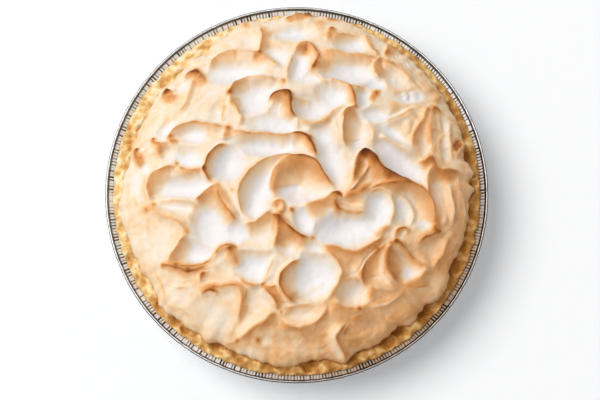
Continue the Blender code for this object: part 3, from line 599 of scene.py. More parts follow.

# One row for each patch that the flame browned more or less, one of them also a painted shadow, in
# millimetres and degrees:
# x, y, half length, half width, heading, browning, how much of it shows
PATCHES = [
    # upper left
    (-76.5, 54, 7, 4.5, -15, 0.5, 0.75),
    (-57, 63, 6, 7, 0, 0.5, 0.8),
    (-44, 49, 3, 5, 0, 0.38, 0.7),
    (-35, 48, 3.5, 6, 0, 0.4, 0.7),
    (-39, 29, 4, 4, 0, 0.45, 0.7),
    (-40, 78.5, 6, 2.5, 0, 0.42, 0.6),
    (-22, 76, 5, 5, 0, 0.45, 0.75),
    (-8.5, 60, 3, 3, 0, 0.45, 0.6),
    # top and upper right
    (-1, 105, 7, 3, 15, 0.5, 0.7),
    (-30, 102, 5, 2, -80, 0.45, 0.6),
    (5, 80.5, 3.5, 4, 0, 0.55, 0.75),
    # painted shadow to the right of the tall fold near (12, 77), browned too
    (17.5, 74.5, 5.5, 8, 0, 0.48, 0.8),
    (22, 91.5, 6, 4, 20, 0.42, 0.7),
    (57.5, 87, 3, 6, 0, 0.42, 0.7),
    (48.5, 73, 3, 5, 0, 0.42, 0.75),
    (51, 76, 5, 3, 0, 0.42, 0.6),
    (45.5, 51.5, 5, 3, 60, 0.5, 0.8),
    (57, 47.5, 4, 3, 0, 0.36, 0.6),
    # left
    (-93, 17, 4.5, 5.5, 0, 0.5, 0.75),
    (-83, 3, 4, 6, -20, 0.42, 0.7),
    (-66.5, 18.5, 2.5, 2.5, 0, 0.3, 0.6),
    (-41.5, -9, 7, 3.5, -60, 0.42, 0.75),
    # middle
    (35, 8, 7, 3, 75, 0.62, 0.75),
    (-3, -18, 3, 3, 0, 0.38, 0.6),
    (20, -12, 4, 3.5, 0, 0.45, 0.6),
    (1, 22, 4, 3.5, 0, 0.32, 0.6),
    (28, 16, 2, 3, 0, 0.3, 0.6),
    (36, -12.5, 4, 4, 0, 0.34, 0.6),
    (66, -31, 4, 3.5, 0, 0.36, 0.6),
    # lower half
    (28.5, -46, 7, 7, 0, 0.48, 0.7),
    (44, -49, 7, 3.5, 85, 0.5, 0.6),
    (49.5, -47, 9, 2, 90, 0.15, 0.7),
    (-3, -57, 10, 4, 90, 0.3, 0.6),
    (12, -84, 12, 3.5, 5, 0.4, 0.5),
    (-43, -54, 9, 4, 0, 0.32, 0.6),
    (-39, -45, 4, 5, 0, 0.38, 0.6),
    (-34, -65, 5, 2.5, 90, 0.38, 0.6),
    (68, -66, 9, 4, 30, 0.42, 0.5),
    # here and there
    (60, 65, 8, 7, 0, 0.16, 0.6),
    (60, -42, 5, 4, -40, 0.42, 0.6),
    (8, -63, 9, 4, 10, 0.22, 0.5),
    (92.5, 15, 7, 2.5, 90, 0.16, 0.6),
    (88, 17, 5, 2, 90, 0.1, 0.5),
    (-64.5, 66.5, 3, 3, 0, 0.42, 0.6),
    (70.5, 54, 9, 4.5, 8, 0.04, 0.75),
    (12, -5, 7, 4, 20, 0.1, 0.5),
    (31, -12.5, 5, 3.5, 0, 0.46, 0.6),
    (64, 37, 8, 4, 60, 0.14, 0.5),
    (88.5, 38, 6, 3, 95, 0.12, 0.5),
]


# ---------------------------------------------------------------- helpers


def deselect_all():
    """Leaves object mode with nothing selected, so that an operator acts only on what follows."""
    if bpy.context.mode != "OBJECT":
        bpy.ops.object.mode_set(mode="OBJECT")
    bpy.ops.object.select_all(action="DESELECT")


def only(piece):
    """Makes one piece the active and only selected object."""
    deselect_all()
    piece.select_set(True)
    bpy.context.view_layer.objects.active = piece


def points_of(piece):
    """A piece's points as rows of x, y, z."""
    places = np.empty(len(piece.data.vertices) * 3, np.float32)
    piece.data.vertices.foreach_get("co", places)
    return places.reshape(-1, 3).astype(float)


def put_points(piece, places):
    """Moves a piece's points to these places."""
    piece.data.vertices.foreach_set("co", places.astype(np.float32).ravel())
    piece.data.update()


def round_points(angle, r, z):
    """Rows of x, y, z from the angle about Z, the distance from it and the height."""
    return np.stack([r * np.cos(angle), r * np.sin(angle), z], 1)


def paint(piece, name, values):
    """Stores one number for each point of a piece, which its material reads by name."""
    layer = piece.data.attributes.get(name) or piece.data.attributes.new(name, "FLOAT", "POINT")
    layer.data.foreach_set("value", values.astype(np.float32))


def hand_over(piece, name, node, material):
    """Names a finished piece, dresses it and ties it to the frame."""
    piece.name = name
    piece.data.name = name
    piece.data.materials.clear()
    piece.data.materials.append(material)
    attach(piece, BODY)
    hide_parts(node)


def smooth_step(low, high, value):
    """0 below low, 1 above high and a soft rise between; low may be the larger, for a fall."""
    share = np.clip((value - low) / (high - low), 0.0, 1.0)
    return share * share * (3 - 2 * share)


def lumps(x, y, seed, size):
    """Smooth random unevenness over the plane, from about -1 to 1, with lumps of about one size."""
    rng = np.random.RandomState(seed)
    lean = rng.uniform(0.0, 2 * pi, (64, 64))
    lean_x, lean_y = np.cos(lean), np.sin(lean)
    u, v = x / size + 31.3, y / size + 17.7
    column, row = np.floor(u).astype(int), np.floor(v).astype(int)
    u, v = u - column, v - row
    ease_u, ease_v = u * u * u * (u * (6 * u - 15) + 10), v * v * v * (v * (6 * v - 15) + 10)
    total = np.zeros_like(x)
    for i in (0, 1):
        for j in (0, 1):
            place = ((row + j) % 64, (column + i) % 64)
            share = (ease_u if i else 1 - ease_u) * (ease_v if j else 1 - ease_v)
            total += share * (lean_x[place] * (u - i) + lean_y[place] * (v - j))
    return 1.5 * total


def layered(x, y, layers, total=0.0):
    """A total with layers of lumps added to it."""
    for seed, size, height in layers:
        total = total + height * lumps(x, y, seed, size)
    return total


def ring_waves(angle, seed, low, high, count=6):
    """An unevenness around a ring, with whole numbers of waves from low to high."""
    rng = np.random.RandomState(seed)
    total = np.zeros_like(angle)
    for turns in rng.randint(low, high + 1, count):
        total += np.sin(turns * angle + rng.uniform(0, 2 * pi))
    return total / count**0.5


def arc(centre_r, centre_z, radius, start, end, steps):
    """Points on an arc of a section, from one angle to the other, in degrees."""
    angles = [radians(start + (end - start) * i / steps) for i in range(steps + 1)]
    return [(centre_r + radius * cos(a), centre_z + radius * sin(a)) for a in angles]


def run(start, end, steps):
    """Evenly spaced points of a straight stretch of a section, without its last one."""
    return [
        (start[0] + (end[0] - start[0]) * i / steps, start[1] + (end[1] - start[1]) * i / steps)
        for i in range(steps)
    ]


def turned(section, steps):
    """A piece turned about Z: one point extruded along the section, then spun by a Screw modifier."""
    deselect_all()
    bpy.ops.mesh.primitive_plane_add(size=MM)
    piece = bpy.context.object
    bpy.ops.object.mode_set(mode="EDIT")
    bpy.ops.mesh.select_all(action="SELECT")
    bpy.ops.mesh.merge(type="CENTER")
    r, z = section[0]
    bpy.ops.transform.translate(value=(r, 0.0, z))
    for next_r, next_z in section[1:]:
        step = (next_r - r, 0.0, next_z - z)
        bpy.ops.mesh.extrude_region_move(TRANSFORM_OT_translate={"value": step})
        r, z = next_r, next_z
    bpy.ops.object.mode_set(mode="OBJECT")
    screw = piece.modifiers.new("turn", "SCREW")
    screw.axis = "Z"
    screw.steps = steps
    screw.render_steps = steps
    screw.use_merge_vertices = True
    screw.merge_threshold = 0.02 * MM
    bpy.ops.object.modifier_apply(modifier="turn")
    bpy.ops.object.shade_smooth()
    return piece


# ---------------------------------------------------------------- materials


def new_material(name):
    """A material with its shader, nodes and links at hand."""
    material = bpy.data.materials.new(name)
    material.use_nodes = True
    nodes = material.node_tree.nodes
    return material, nodes["Principled BSDF"], nodes, material.node_tree.links


def attribute(nodes, name):
    """The number painted on a piece's points under this name."""
    node = nodes.new("ShaderNodeAttribute")
    node.attribute_name = name
    return node.outputs["Fac"]


def worked_out(nodes, links, operation, first, second):
    """Two values added or multiplied."""
    node = nodes.new("ShaderNodeMath")
    node.operation = operation
    links.new(first, node.inputs[0])
    links.new(second, node.inputs[1])
    return node.outputs[0]


def toned(nodes, links, value, stops):
    """A colour looked up for a value between stops of (value, colour)."""
    ramp = nodes.new("ShaderNodeValToRGB")
    elements = ramp.color_ramp.elements
    elements[0].position, elements[1].position = stops[0][0], stops[-1][0]
    for position, _ in stops[1:-1]:
        elements.new(position)
    for element, (_, colour) in zip(elements, stops):
        element.color = (*colour, 1.0)
    links.new(value, ramp.inputs["Fac"])
    return ramp.outputs["Color"]


def grain_group():
    """The shader group behind every grained surface: a noise as a value and as a bumped normal."""
    made = bpy.data.node_groups.get("surface_grain")
    if made:
        return made
    group = bpy.data.node_groups.new("surface_grain", "ShaderNodeTree")
    for name in ("Scale", "Detail", "Roughness", "Low", "High", "Relief"):
        group.interface.new_socket(name, in_out="INPUT", socket_type="NodeSocketFloat")
    group.interface.new_socket("Value", in_out="OUTPUT", socket_type="NodeSocketFloat")
    group.interface.new_socket("Normal", in_out="OUTPUT", socket_type="NodeSocketVector")
    nodes, links = group.nodes, group.links
    given = nodes.new("NodeGroupInput")
    result = nodes.new("NodeGroupOutput")
    where = nodes.new("ShaderNodeTexCoord")
    noise = nodes.new("ShaderNodeTexNoise")
    links.new(where.outputs["Object"], noise.inputs["Vector"])
    for name in ("Scale", "Detail", "Roughness"):
        links.new(given.outputs[name], noise.inputs[name])
    spread = nodes.new("ShaderNodeMapRange")
    links.new(noise.outputs["Fac"], spread.inputs["Value"])
    links.new(given.outputs["Low"], spread.inputs["To Min"])
    links.new(given.outputs["High"], spread.inputs["To Max"])
    links.new(spread.outputs["Result"], result.inputs["Value"])
    bump = nodes.new("ShaderNodeBump")
    links.new(given.outputs["Relief"], bump.inputs["Distance"])
    links.new(noise.outputs["Fac"], bump.inputs["Height"])
    links.new(bump.outputs["Normal"], result.inputs["Normal"])
    return group


def grain(nodes, scale, detail=4, roughness=0.5, low=0.0, high=1.0, relief=0.1 * MM):
    """A node of the shared grain; scale is in lumps for each metre, relief in metres."""
    node = nodes.new("ShaderNodeGroup")
    node.node_tree = grain_group()
    names = ("Scale", "Detail", "Roughness", "Low", "High", "Relief")
    for name, value in zip(names, (scale, detail, roughness, low, high, relief)):
        node.inputs[name].default_value = value
    return node


# ---------------------------------------------------------------- foil tin


def lining(offset, rows):
    """The tin in section from its flange down to the axis, offset in from the outer face."""
    end_r, end_z = FLANGE_END
    start_r, start_z = FLANGE_START
    slope = atan2(start_z, start_r - FLOOR_RADIUS)
    centre_r = FLOOR_RADIUS - CORNER_RADIUS * tan(slope / 2)
    turn = (degrees(slope) - 90, -90, CORNER_ROWS)
    corner = arc(centre_r, CORNER_RADIUS, CORNER_RADIUS - offset, *turn)
    flange = run((end_r, end_z + offset - FOIL), (start_r, start_z + offset), FLANGE_ROWS)
    wall = run((start_r, start_z + offset), corner[0], rows)
    floor = run(corner[-1], (0.0, offset), FLOOR_ROWS) + [(0.0, offset)]
    return flange + wall + corner[:-1] + floor


def make_foil_tin(settings):
    """The tin: a turned section with pleats pressed into it, and a bead dented along its rim."""
    bead = arc(BEAD_R, BEAD_Z, BEAD_RADIUS, *BEAD_ARC)
    section = lining(FOIL, INSIDE_ROWS)[::-1] + bead + lining(0.0, OUTSIDE_ROWS)
    piece = turned(section, settings.pleats * SAMPLES_PER_PLEAT)
    x, y, z = points_of(piece).T
    angle, r = np.arctan2(y, x), np.hypot(x, y)
    start_r, start_z = FLANGE_START
    end_r, end_z = FLANGE_END
    rise = (end_z - FOIL - start_z) / (end_r - start_r)
    above = z - start_z - rise * (r - start_r)
    upper_face = smooth_step(0.3 * FOIL, 0.7 * FOIL, above)

    # pleats, pressed a little unevenly, deeper on the wall and none on the floor or the bead
    phase = settings.pleats * angle + 0.9 * ring_waves(angle, *PHASE_WAVES)
    wall = smooth_step(FLOOR_RADIUS - CORNER_RADIUS, FLOOR_RADIUS + 4 * MM, r)
    below_bead = smooth_step(end_r + 0.3 * MM, end_r - 0.4 * MM, r)
    strength = 1 + 0.45 * ring_waves(angle, *SLOW_WAVES) + 0.35 * ring_waves(angle, *QUICK_WAVES)
    deeper = 1 + DEEPER_ON_WALL * smooth_step(start_r - 3 * MM, start_r - 9 * MM, r)
    fold = np.sin(phase) * strength * wall * below_bead * deeper
    z = z - PLEAT_DOWN * settings.pleat_depth * fold
    r = r + PLEAT_OUT * settings.pleat_depth * fold
    on_bead = smooth_step(BEAD_Z - BEAD_RADIUS, BEAD_Z, z)
    dent = BEAD_DENT * ring_waves(angle, *BEAD_WAVES)
    r = np.minimum(r - on_bead * np.abs(dent), RIM_RADIUS)
    z = z + on_bead * (0.5 * dent - BEAD_SINK)
    put_points(piece, round_points(angle, r, np.maximum(z, 0.0)))

    # painted shade where little light reaches: in the groove inside the bead, along its outer edge and
    # in the valleys, and a few dark specks on the bead
    groove = smooth_step(end_r - 0.35 * MM, end_r - 0.05 * MM, r)
    groove *= smooth_step(0.75 * MM, 0.5 * MM, z - BEAD_Z)
    groove *= smooth_step(end_r + 0.85 * MM, end_r + 0.6 * MM, r)
    outer_edge = smooth_step(RIM_RADIUS - 0.75 * MM, RIM_RADIUS - 0.5 * MM, r)
    shaded = smooth_step(0.2, 1.1, np.cos(angle - MIRROR_SIDE))
    groove *= 0.75 + 0.25 * shaded
    on_flange = smooth_step(start_r - 1.5 * MM, start_r, r)
    valley = smooth_step(0.15, 0.7, np.sin(phase)) * np.clip(strength, 0, 1.5) * wall * below_bead
    valley *= 0.55 + 0.45 * on_flange
    gaps = 0.7 - 0.4 * smooth_step(-0.2, 0.4, np.cos(angle))
    valley *= np.clip(0.85 + gaps * ring_waves(angle, *GAP_WAVES), 0.1, 1.2)
    valley *= 0.95 - 0.2 * shaded
    specks = 0.25 * np.clip(ring_waves(angle, *SPECK_WAVES), 0, 1) * on_bead
    crease_shade = np.maximum.reduce([groove, outer_edge, valley, specks])
    paint(piece, "crease_shade", np.clip(crease_shade, 0, 1))
    # painted reflection of the crust on the shaded side of the flange, and painted shade on the bead
    # there
    paint(piece, "reflection", shaded * (on_flange * below_bead * upper_face + 0.8 * on_bead))
    hand_over(piece, "foil_tin_pleated", "foil_tin", foil_material(settings))


def foil_material(settings):
    """Bright foil: dull and dark with painted shade in its creases, warm with a painted reflection
    where it mirrors the crust.
    """
    material, shader, nodes, links = new_material("bright_foil")
    crease_shade = attribute(nodes, "crease_shade")
    metal = nodes.new("ShaderNodeMapRange")
    metal.inputs["To Min"].default_value = CREASE_METAL
    links.new(crease_shade, metal.inputs["Value"])
    links.new(metal.outputs["Result"], shader.inputs["Metallic"])
    stops = [(0.05, settings.colour), (0.85, CREASE_SHADE_TONE)]
    reflection = nodes.new("ShaderNodeMix")
    reflection.data_type = "RGBA"
    reflection.blend_type = "MULTIPLY"
    reflection.inputs["B"].default_value = MIRRORED_CRUST
    links.new(attribute(nodes, "reflection"), reflection.inputs["Factor"])
    links.new(toned(nodes, links, crease_shade, stops), reflection.inputs["A"])
    links.new(reflection.outputs["Result"], shader.inputs["Base Color"])
    dents = grain(nodes, scale=260, low=0.18, high=0.42, relief=0.09 * MM)
    links.new(dents.outputs["Value"], shader.inputs["Roughness"])
    links.new(dents.outputs["Normal"], shader.inputs["Normal"])
    return material


# ---------------------------------------------------------------- crust


def crust_section():
    """The crust's ring in section: from inside over its crest to the flange, then back under."""
    across = CREST_RADIUS - CRUST_INNER_RADIUS
    top = []
    for i in range(CRUST_ACROSS + 1):
        r = CRUST_INNER_RADIUS + across * i / CRUST_ACROSS
        rise = smooth_step(0.0, 1.0, (r - CRUST_INNER_RADIUS) / across)
        top.append((r, CRUST_FOOT + (CREST_HEIGHT - CRUST_FOOT) * float(rise)))
    side_r, side_z = CRUST_EDGE
    for i in range(1, SHOULDER_STEPS + 1):
        turn = pi / 2 * i / SHOULDER_STEPS
        r = CREST_RADIUS + (side_r - CREST_RADIUS) * sin(turn)
        top.append((r, side_z + (CREST_HEIGHT - side_z) * cos(turn)))
    return top + CRUST_BASE + [top[0]]


def make_crust(settings):
    """The pastry rim: a turned ring, crumbled and pitted, that spills a little over the flange."""
    piece = turned(crust_section(), CRUST_AROUND)
    x, y, z = points_of(piece).T
    angle, r = np.arctan2(y, x), np.hypot(x, y)
    mx, my = x / MM, y / MM
    on_top = smooth_step(26 * MM, 28.5 * MM, z)
    crumbs = layered(mx, my, CRUMBS)
    pocket_shade, sunk = np.zeros_like(z), np.zeros_like(z)
    for cx, cy, radius, depth in POCKETS:
        near = smooth_step(1.15, 0.1, np.hypot(mx - cx + lumps(mx, my, 25, 4), my - cy) / radius)
        sunk = np.maximum(sunk, depth * near)
        pocket_shade = np.maximum(pocket_shade, near * min(1.0, depth / 2.2))
    z = z + (settings.lump_height * crumbs - sunk * MM) * on_top
    ragged = layered(mx, my, RAGGED)
    r = r + RAGGED_REACH * ragged * on_top * smooth_step(103 * MM, 108 * MM, r)
    spill = smooth_step(0.75, 0.97, np.cos(angle - SPILL_SIDE))
    r = r + SPILL * spill * on_top * smooth_step(104 * MM, 110 * MM, r)
    start_r, start_z = FLANGE_START
    floor = start_z + (r - start_r) * UNDERSIDE_SLOPE + FOIL + FLANGE_GAP
    z = np.where(r > start_r - 1.5 * MM, np.maximum(z, floor), z)
    put_points(piece, round_points(angle, r, z))
    # painted light and shade: the crust is lighter on the side towards the window and darker in the
    # pockets
    lit = 0.6 + 0.25 * np.cos(angle - PASTRY_LIT_SIDE)
    paint(piece, "bake_light_and_shade", np.clip(lit + 0.36 * crumbs - 0.42 * pocket_shade, 0, 1))
    hand_over(piece, "crust_rim", "crust", crust_material())


def crust_material():
    """Baked pastry: its colour follows the baking and the painted light and shade stored on it, broken
    up by a crumb.
    """
    material, shader, nodes, links = new_material("baked_pastry")
    shader.inputs["Roughness"].default_value = 0.75
    crumb = grain(nodes, scale=190, detail=6, low=-0.17, high=0.17, relief=0.4 * MM)
    bake_light_and_shade = worked_out(nodes, links, "ADD", attribute(nodes, "bake_light_and_shade"), crumb.outputs["Value"])
    links.new(toned(nodes, links, bake_light_and_shade, PASTRY_TONES), shader.inputs["Base Color"])
    links.new(crumb.outputs["Normal"], shader.inputs["Normal"])
    return material


# ---------------------------------------------------------------- meringue


def smooth_path(path, steps=9):
    """Points of a smooth curve through the given x, y, x, y, ..."""
    given = np.array(path, float).reshape(-1, 2)
    ends = np.vstack([2 * given[0] - given[1], given, 2 * given[-1] - given[-2]])
    curve = []
    for a, b, c, d in zip(ends[:-3], ends[1:-2], ends[2:-1], ends[3:]):
        for i in range(steps):
            t = i / steps
            place = 2 * b + (c - a) * t + (2 * a - 5 * b + 4 * c - d) * t**2
            curve.append(0.5 * (place + (3 * b - a - 3 * c + d) * t**3))
    curve.append(given[-1])
    return np.array(curve)


def beside_path(x, y, curve):
    """How far points lie from a curve, on which side (1 right, -1 left), how far along it as a share
    of its length, and the curve's heading there."""
    best = np.full(x.shape, 1e9)
    side, along = np.ones_like(x), np.zeros_like(x)
    head_x, head_y = np.ones_like(x), np.zeros_like(x)
    lengths = np.hypot(*np.diff(curve, axis=0).T)
    start = np.concatenate([[0.0], np.cumsum(lengths)])
    for (ax, ay), (bx, by), length, so_far in zip(curve[:-1], curve[1:], lengths, start):
        ux, uy = (bx - ax) / length, (by - ay) / length
        step = np.clip((x - ax) * ux + (y - ay) * uy, 0.0, length)
        off_x, off_y = x - ax - step * ux, y - ay - step * uy
        gap = off_x * off_x + off_y * off_y
        nearer = gap < best
        best = np.where(nearer, gap, best)
        side = np.where(nearer, np.where(off_x * uy - off_y * ux >= 0, 1.0, -1.0), side)
        along = np.where(nearer, (so_far + step) / start[-1], along)
        head_x, head_y = np.where(nearer, ux, head_x), np.where(nearer, uy, head_y)
    return np.sqrt(best), side, along, head_x, head_y


def unrolled(x, y, spread=0.0):
    """The same points with their distance from the middle measured along the dome, so that the small
    unevenness isn't drawn out down its steep side; spread makes it run around the pie on the flanks."""
    share = np.linspace(0, 1, 400)
    out = EDGE_RADIUS / MM * share
    up = DOME_HEIGHT / MM * (1 - share**DOME_SHOULDER) ** DOME_ROUNDNESS
    along = np.append(0, np.cumsum(np.hypot(np.diff(out), np.diff(up))))
    along += spread * np.maximum(out - 60, 0)
    r = np.hypot(x, y)
    stretch = np.interp(r, out, along) / np.maximum(r, 0.001)
    return x * stretch, y * stretch


def base_toast(x, y):
    """Browning of the meringue where no spoon went: more on the flanks, and darker towards the lower
    right.
    """
    r, angle = np.hypot(x, y), np.arctan2(y, x)
    right = 0.5 + 0.5 * np.cos(angle - DARKEST_SIDE)
    flank = smooth_step(FLANK_START, FLANK_FULL, r)
    x, y = unrolled(x, y, 1.5)
    swept_x = x + SWEEP * lumps(x, y, 71, SWEEP_SIZE)
    swept_y = y + SWEEP * lumps(x, y, 72, SWEEP_SIZE)
    front = smooth_step(0.2, 0.9, np.cos(angle - FRONT_SIDE)) * flank
    patchy = layered(x, y, BROWN_PATCHES)
    patchy += (1 - 0.6 * front) * layered(swept_x, swept_y, BROWN_STREAKS)
    return 0.18 + 0.05 * flank + 0.25 * flank * right**2 + patchy


def ellipse_share(x, y, long, wide, heading):
    """0 at the middle of a turned ellipse and 1 at its outline."""
    turn = radians(heading)
    return np.hypot((x * cos(turn) + y * sin(turn)) / long, (y * cos(turn) - x * sin(turn)) / wide)


def pressed_hollows(x, y):
    """How deep the hollows go, and how white they stay, from 0 to 1."""
    hollow, white = np.zeros_like(x), np.zeros_like(x)
    for cx, cy, long, wide, heading, depth, pale in DENTS:
        t = ellipse_share(x - cx, y - cy, long, wide, heading)
        bowl = 1 - t * t
        bowl = 0.5 * (bowl + np.sqrt(bowl * bowl + BOWL_LIP)) / BOWL_SUM
        hollow += (BOWL_DEPTH * depth * bowl * smooth_step(1.5, 1.0, t)) ** 3
        lean = WHITE_LEAN * wide
        leaning = ellipse_share(x - cx - lean, y - cy + lean, long, wide, heading)
        shown = smooth_step(1.2, 0.3, leaning) * smooth_step(1.25, 0.95, t)
        white = np.maximum(white, pale * shown)
    return hollow ** (1 / 3), white


def drawn_folds(x, y, widths, spots, toast_and_shade):
    """The height of the folds and how far they curl over; toast is browned along them."""
    folds, curl_x, curl_y = np.zeros_like(x), np.zeros_like(x), np.zeros_like(x)
    for path, tall, front, back, brown_front, brown_line, brown_back in CRESTS:
        curve = smooth_path(path) - (0, SEEN_SHIFT * tall)
        length = np.hypot(*np.diff(curve, axis=0).T).sum()
        reach = max(front, back) + 2
        low, high = curve.min(0) - reach, curve.max(0) + reach
        near = (x > low[0]) & (x < high[0]) & (y > low[1]) & (y < high[1])
        gap, side, along, head_x, head_y = beside_path(x[near], y[near], curve)
        taper = smooth_step(0.0, TAPER, along) * smooth_step(1.0, 1 - TAPER, along)
        lean = min(LEAN * tall, MOST_LEAN * back)
        offset = gap * side - lean * taper
        rounded = np.sqrt(offset * offset + CREST_ROUND**2) - CREST_ROUND
        in_front = offset > 0
        width = np.where(in_front, front, back) * (END_WIDTH + (1 - END_WIDTH) * taper)
        share = np.clip(1 - rounded / width, 0.0, 1.0)
        rise = tall * (END_HEIGHT + (1 - END_HEIGHT) * taper)
        rise = rise * share ** np.where(in_front, FRONT_POWER, BACK_POWER)
        rise *= np.where((along > 0) & (along < 1), 1.0, share)
        folds[near] += rise**3
        curl_x[near] += lean * taper * share**2 * -head_y
        curl_y[near] += lean * taper * share**2 * head_x
        end = min(0.5, max(0.16, END_FADE / length))
        end_fade = smooth_step(0.0, end, along) * smooth_step(1.0, 1 - end, along)
        streak = np.clip(1 - rounded / (width * widths[near]), 0.0, 1.0)
        spread = end_fade * streak ** np.interp(front, FRONT_WIDTHS, SPREAD_POWERS)
        target = np.where(in_front, 1.2 * brown_front, 1.1 * brown_back)
        toast_and_shade[near] += (target - toast_and_shade[near]) * spread
        line = end_fade * np.exp(-((offset / LINE_WIDTH) ** 2))
        toast_and_shade[near] += (brown_line + 0.10 + spots[near] - toast_and_shade[near]) * line
    return folds ** (1 / 3), curl_x, curl_y


def loose_folds(x, y, fold_height, white, toast_and_shade):
    """The small unevenness between the spoon's marks, least in the white; toast is browned on it."""
    side = (0.5 + 0.5 * np.cos(np.arctan2(y, x) - LOOSE_SIDE)) ** 2
    loose = (1 - 0.75 * white) * (0.9 + 1.2 * smooth_step(55, 85, np.hypot(x, y)) * side)
    fine = layered(*unrolled(x, y), FINE_LUMPS)
    far_x, far_y = unrolled(x, y, 1.2)
    for seed, size, share in LOOSE_FOLDS:
        fold = np.clip(1 - 3.2 * np.abs(lumps(far_x, far_y, seed, size)), 0, 1) ** 2
        fold *= smooth_step(-0.2, 0.5, lumps(x, y, seed + 1, 2.5 * size)) * loose
        fine += fold_height * share * fold
        toast_and_shade += 0.045 * share * fold
    return fine


def relief(x, y, fold_height):
    """Height over the dome, browning with one patch of painted shadow, and how far points curl
    sideways; lengths in millimetres.
    """
    bent_x, bent_y = layered(x, y, WANDER_X, x), layered(x, y, WANDER_Y, y)
    hollow, white = pressed_hollows(bent_x, bent_y)
    toast_and_shade = base_toast(x, y) * (1 - white)
    widths, spots = layered(x, y, FOLD_WIDTHS, 1.0), layered(x, y, CREST_SPOTS)
    folds, curl_x, curl_y = drawn_folds(bent_x, bent_y, widths, spots, toast_and_shade)
    for cx, cy, long, wide, heading, browning, share in PATCHES:
        place = ellipse_share(bent_x - cx, bent_y - cy, long, wide, heading)
        toast_and_shade += (browning - toast_and_shade) * share * smooth_step(1.2, 0.3, place)
    height = folds - hollow
    for cx, cy, peak, foot, side, curl, brown in PEAKS:
        near = np.clip(1 - np.hypot(bent_x - cx, bent_y - cy) / foot, 0.0, 1.0)
        height += peak * near**2
        curl_x += curl * cos(radians(side)) * near**3
        curl_y += curl * sin(radians(side)) * near**3
        toast_and_shade += np.maximum(brown - toast_and_shade, 0.0) * near**1.5
    toast_and_shade += 0.02 * height
    fine = loose_folds(x, y, fold_height, white, toast_and_shade)
    r = np.hypot(x, y)
    inside = smooth_step(0.0, EDGE_FADE, EDGE_RADIUS / MM - r)
    steep = smooth_step(60, 104, r)
    height = height * (0.35 + 0.65 * inside) + fine * (1 - 0.4 * steep)
    curl_x += fine * steep * x / np.maximum(r, 1)
    curl_y += fine * steep * y / np.maximum(r, 1)
    return height, toast_and_shade, curl_x, curl_y


def edge_radius(angle):
    """The meringue's own edge, uneven around the pie: it spreads out furthest at the back."""
    turn, reach = np.array(EDGE + [(360 + EDGE[0][0], EDGE[0][1])]).T
    around = np.degrees(angle) % 360
    row = np.searchsorted(turn, around, side="right") - 1
    row = np.clip(row, 0, len(turn) - 2)
    share = (around - turn[row]) / (turn[row + 1] - turn[row])
    lobes = 0.35 * ring_waves(angle, *EDGE_WAVES)
    return MM * (reach[row] + (reach[row + 1] - reach[row]) * smooth_step(0, 1, share) + lobes)


def disc_points(square):
    """Angles and shares of the radius for points of a square from -1 to 1, the middle not crowded."""
    x, y = square
    share = np.maximum(np.abs(x), np.abs(y))
    wide = np.abs(x) > np.abs(y)
    safe_x = np.where(wide, x, 1.0)
    safe_y = np.where(wide | (y == 0), 1.0, y)
    angle = np.where(wide, pi / 4 * y / safe_x, pi / 2 - pi / 4 * x / safe_y)
    return np.where(np.where(wide, x, y) < 0, angle + pi, angle), share


def close_underneath(piece):
    """Draws the meringue's border in under itself and closes it where it sits on the filling."""
    only(piece)
    bpy.ops.object.mode_set(mode="EDIT")
    bpy.ops.mesh.select_mode(type="EDGE")
    bpy.ops.mesh.select_all(action="DESELECT")
    bpy.ops.mesh.select_non_manifold()
    for step, height in ((UNDERCUT, UNDERCUT_HEIGHT), (None, SEAT_HEIGHT)):
        bpy.ops.mesh.extrude_edges_move()
        bpy.ops.object.mode_set(mode="OBJECT")
        places = points_of(piece)
        picked = np.empty(len(places), bool)
        piece.data.vertices.foreach_get("select", picked)
        angle = np.arctan2(places[picked, 1], places[picked, 0])
        r = np.hypot(places[picked, 0], places[picked, 1])
        r = np.full_like(r, SEAT_RADIUS) if step is None else r - step
        places[picked] = round_points(angle, r, np.full_like(r, height))
        put_points(piece, places)
        bpy.ops.object.mode_set(mode="EDIT")
    bpy.ops.mesh.edge_face_add()
    bpy.ops.mesh.select_all(action="SELECT")
    bpy.ops.mesh.normals_make_consistent(inside=False)
    bpy.ops.object.mode_set(mode="OBJECT")


def make_meringue(settings):
    """The meringue: a grid drawn round into a disc, domed, worked all over and closed underneath."""
    deselect_all()
    cells = MERINGUE_CELLS
    bpy.ops.mesh.primitive_grid_add(x_subdivisions=cells, y_subdivisions=cells, size=2)
    piece = bpy.context.object
    angle, share = disc_points(points_of(piece)[:, :2].T)
    spread = (edge_radius(angle) - EDGE_RADIUS) * smooth_step(EDGE_START, 1.0, share)
    r = EDGE_RADIUS * share + spread
    x, y = r * np.cos(angle), r * np.sin(angle)
    height, toast_and_shade, curl_x, curl_y = relief(x / MM, y / MM, settings.fold_height / MM)
    z = EDGE_HEIGHT + DOME_HEIGHT * (1 - share**DOME_SHOULDER) ** DOME_ROUNDNESS + MM * height
    put_points(piece, np.stack([x + MM * curl_x, y + MM * curl_y, z], 1))
    paint(piece, "toast_and_shade", np.clip(settings.browning * toast_and_shade / FULL_TOAST, 0.0, 1.0))
    close_underneath(piece)
    bpy.ops.object.shade_smooth()
    hand_over(piece, "meringue_swirls", "meringue", meringue_material())


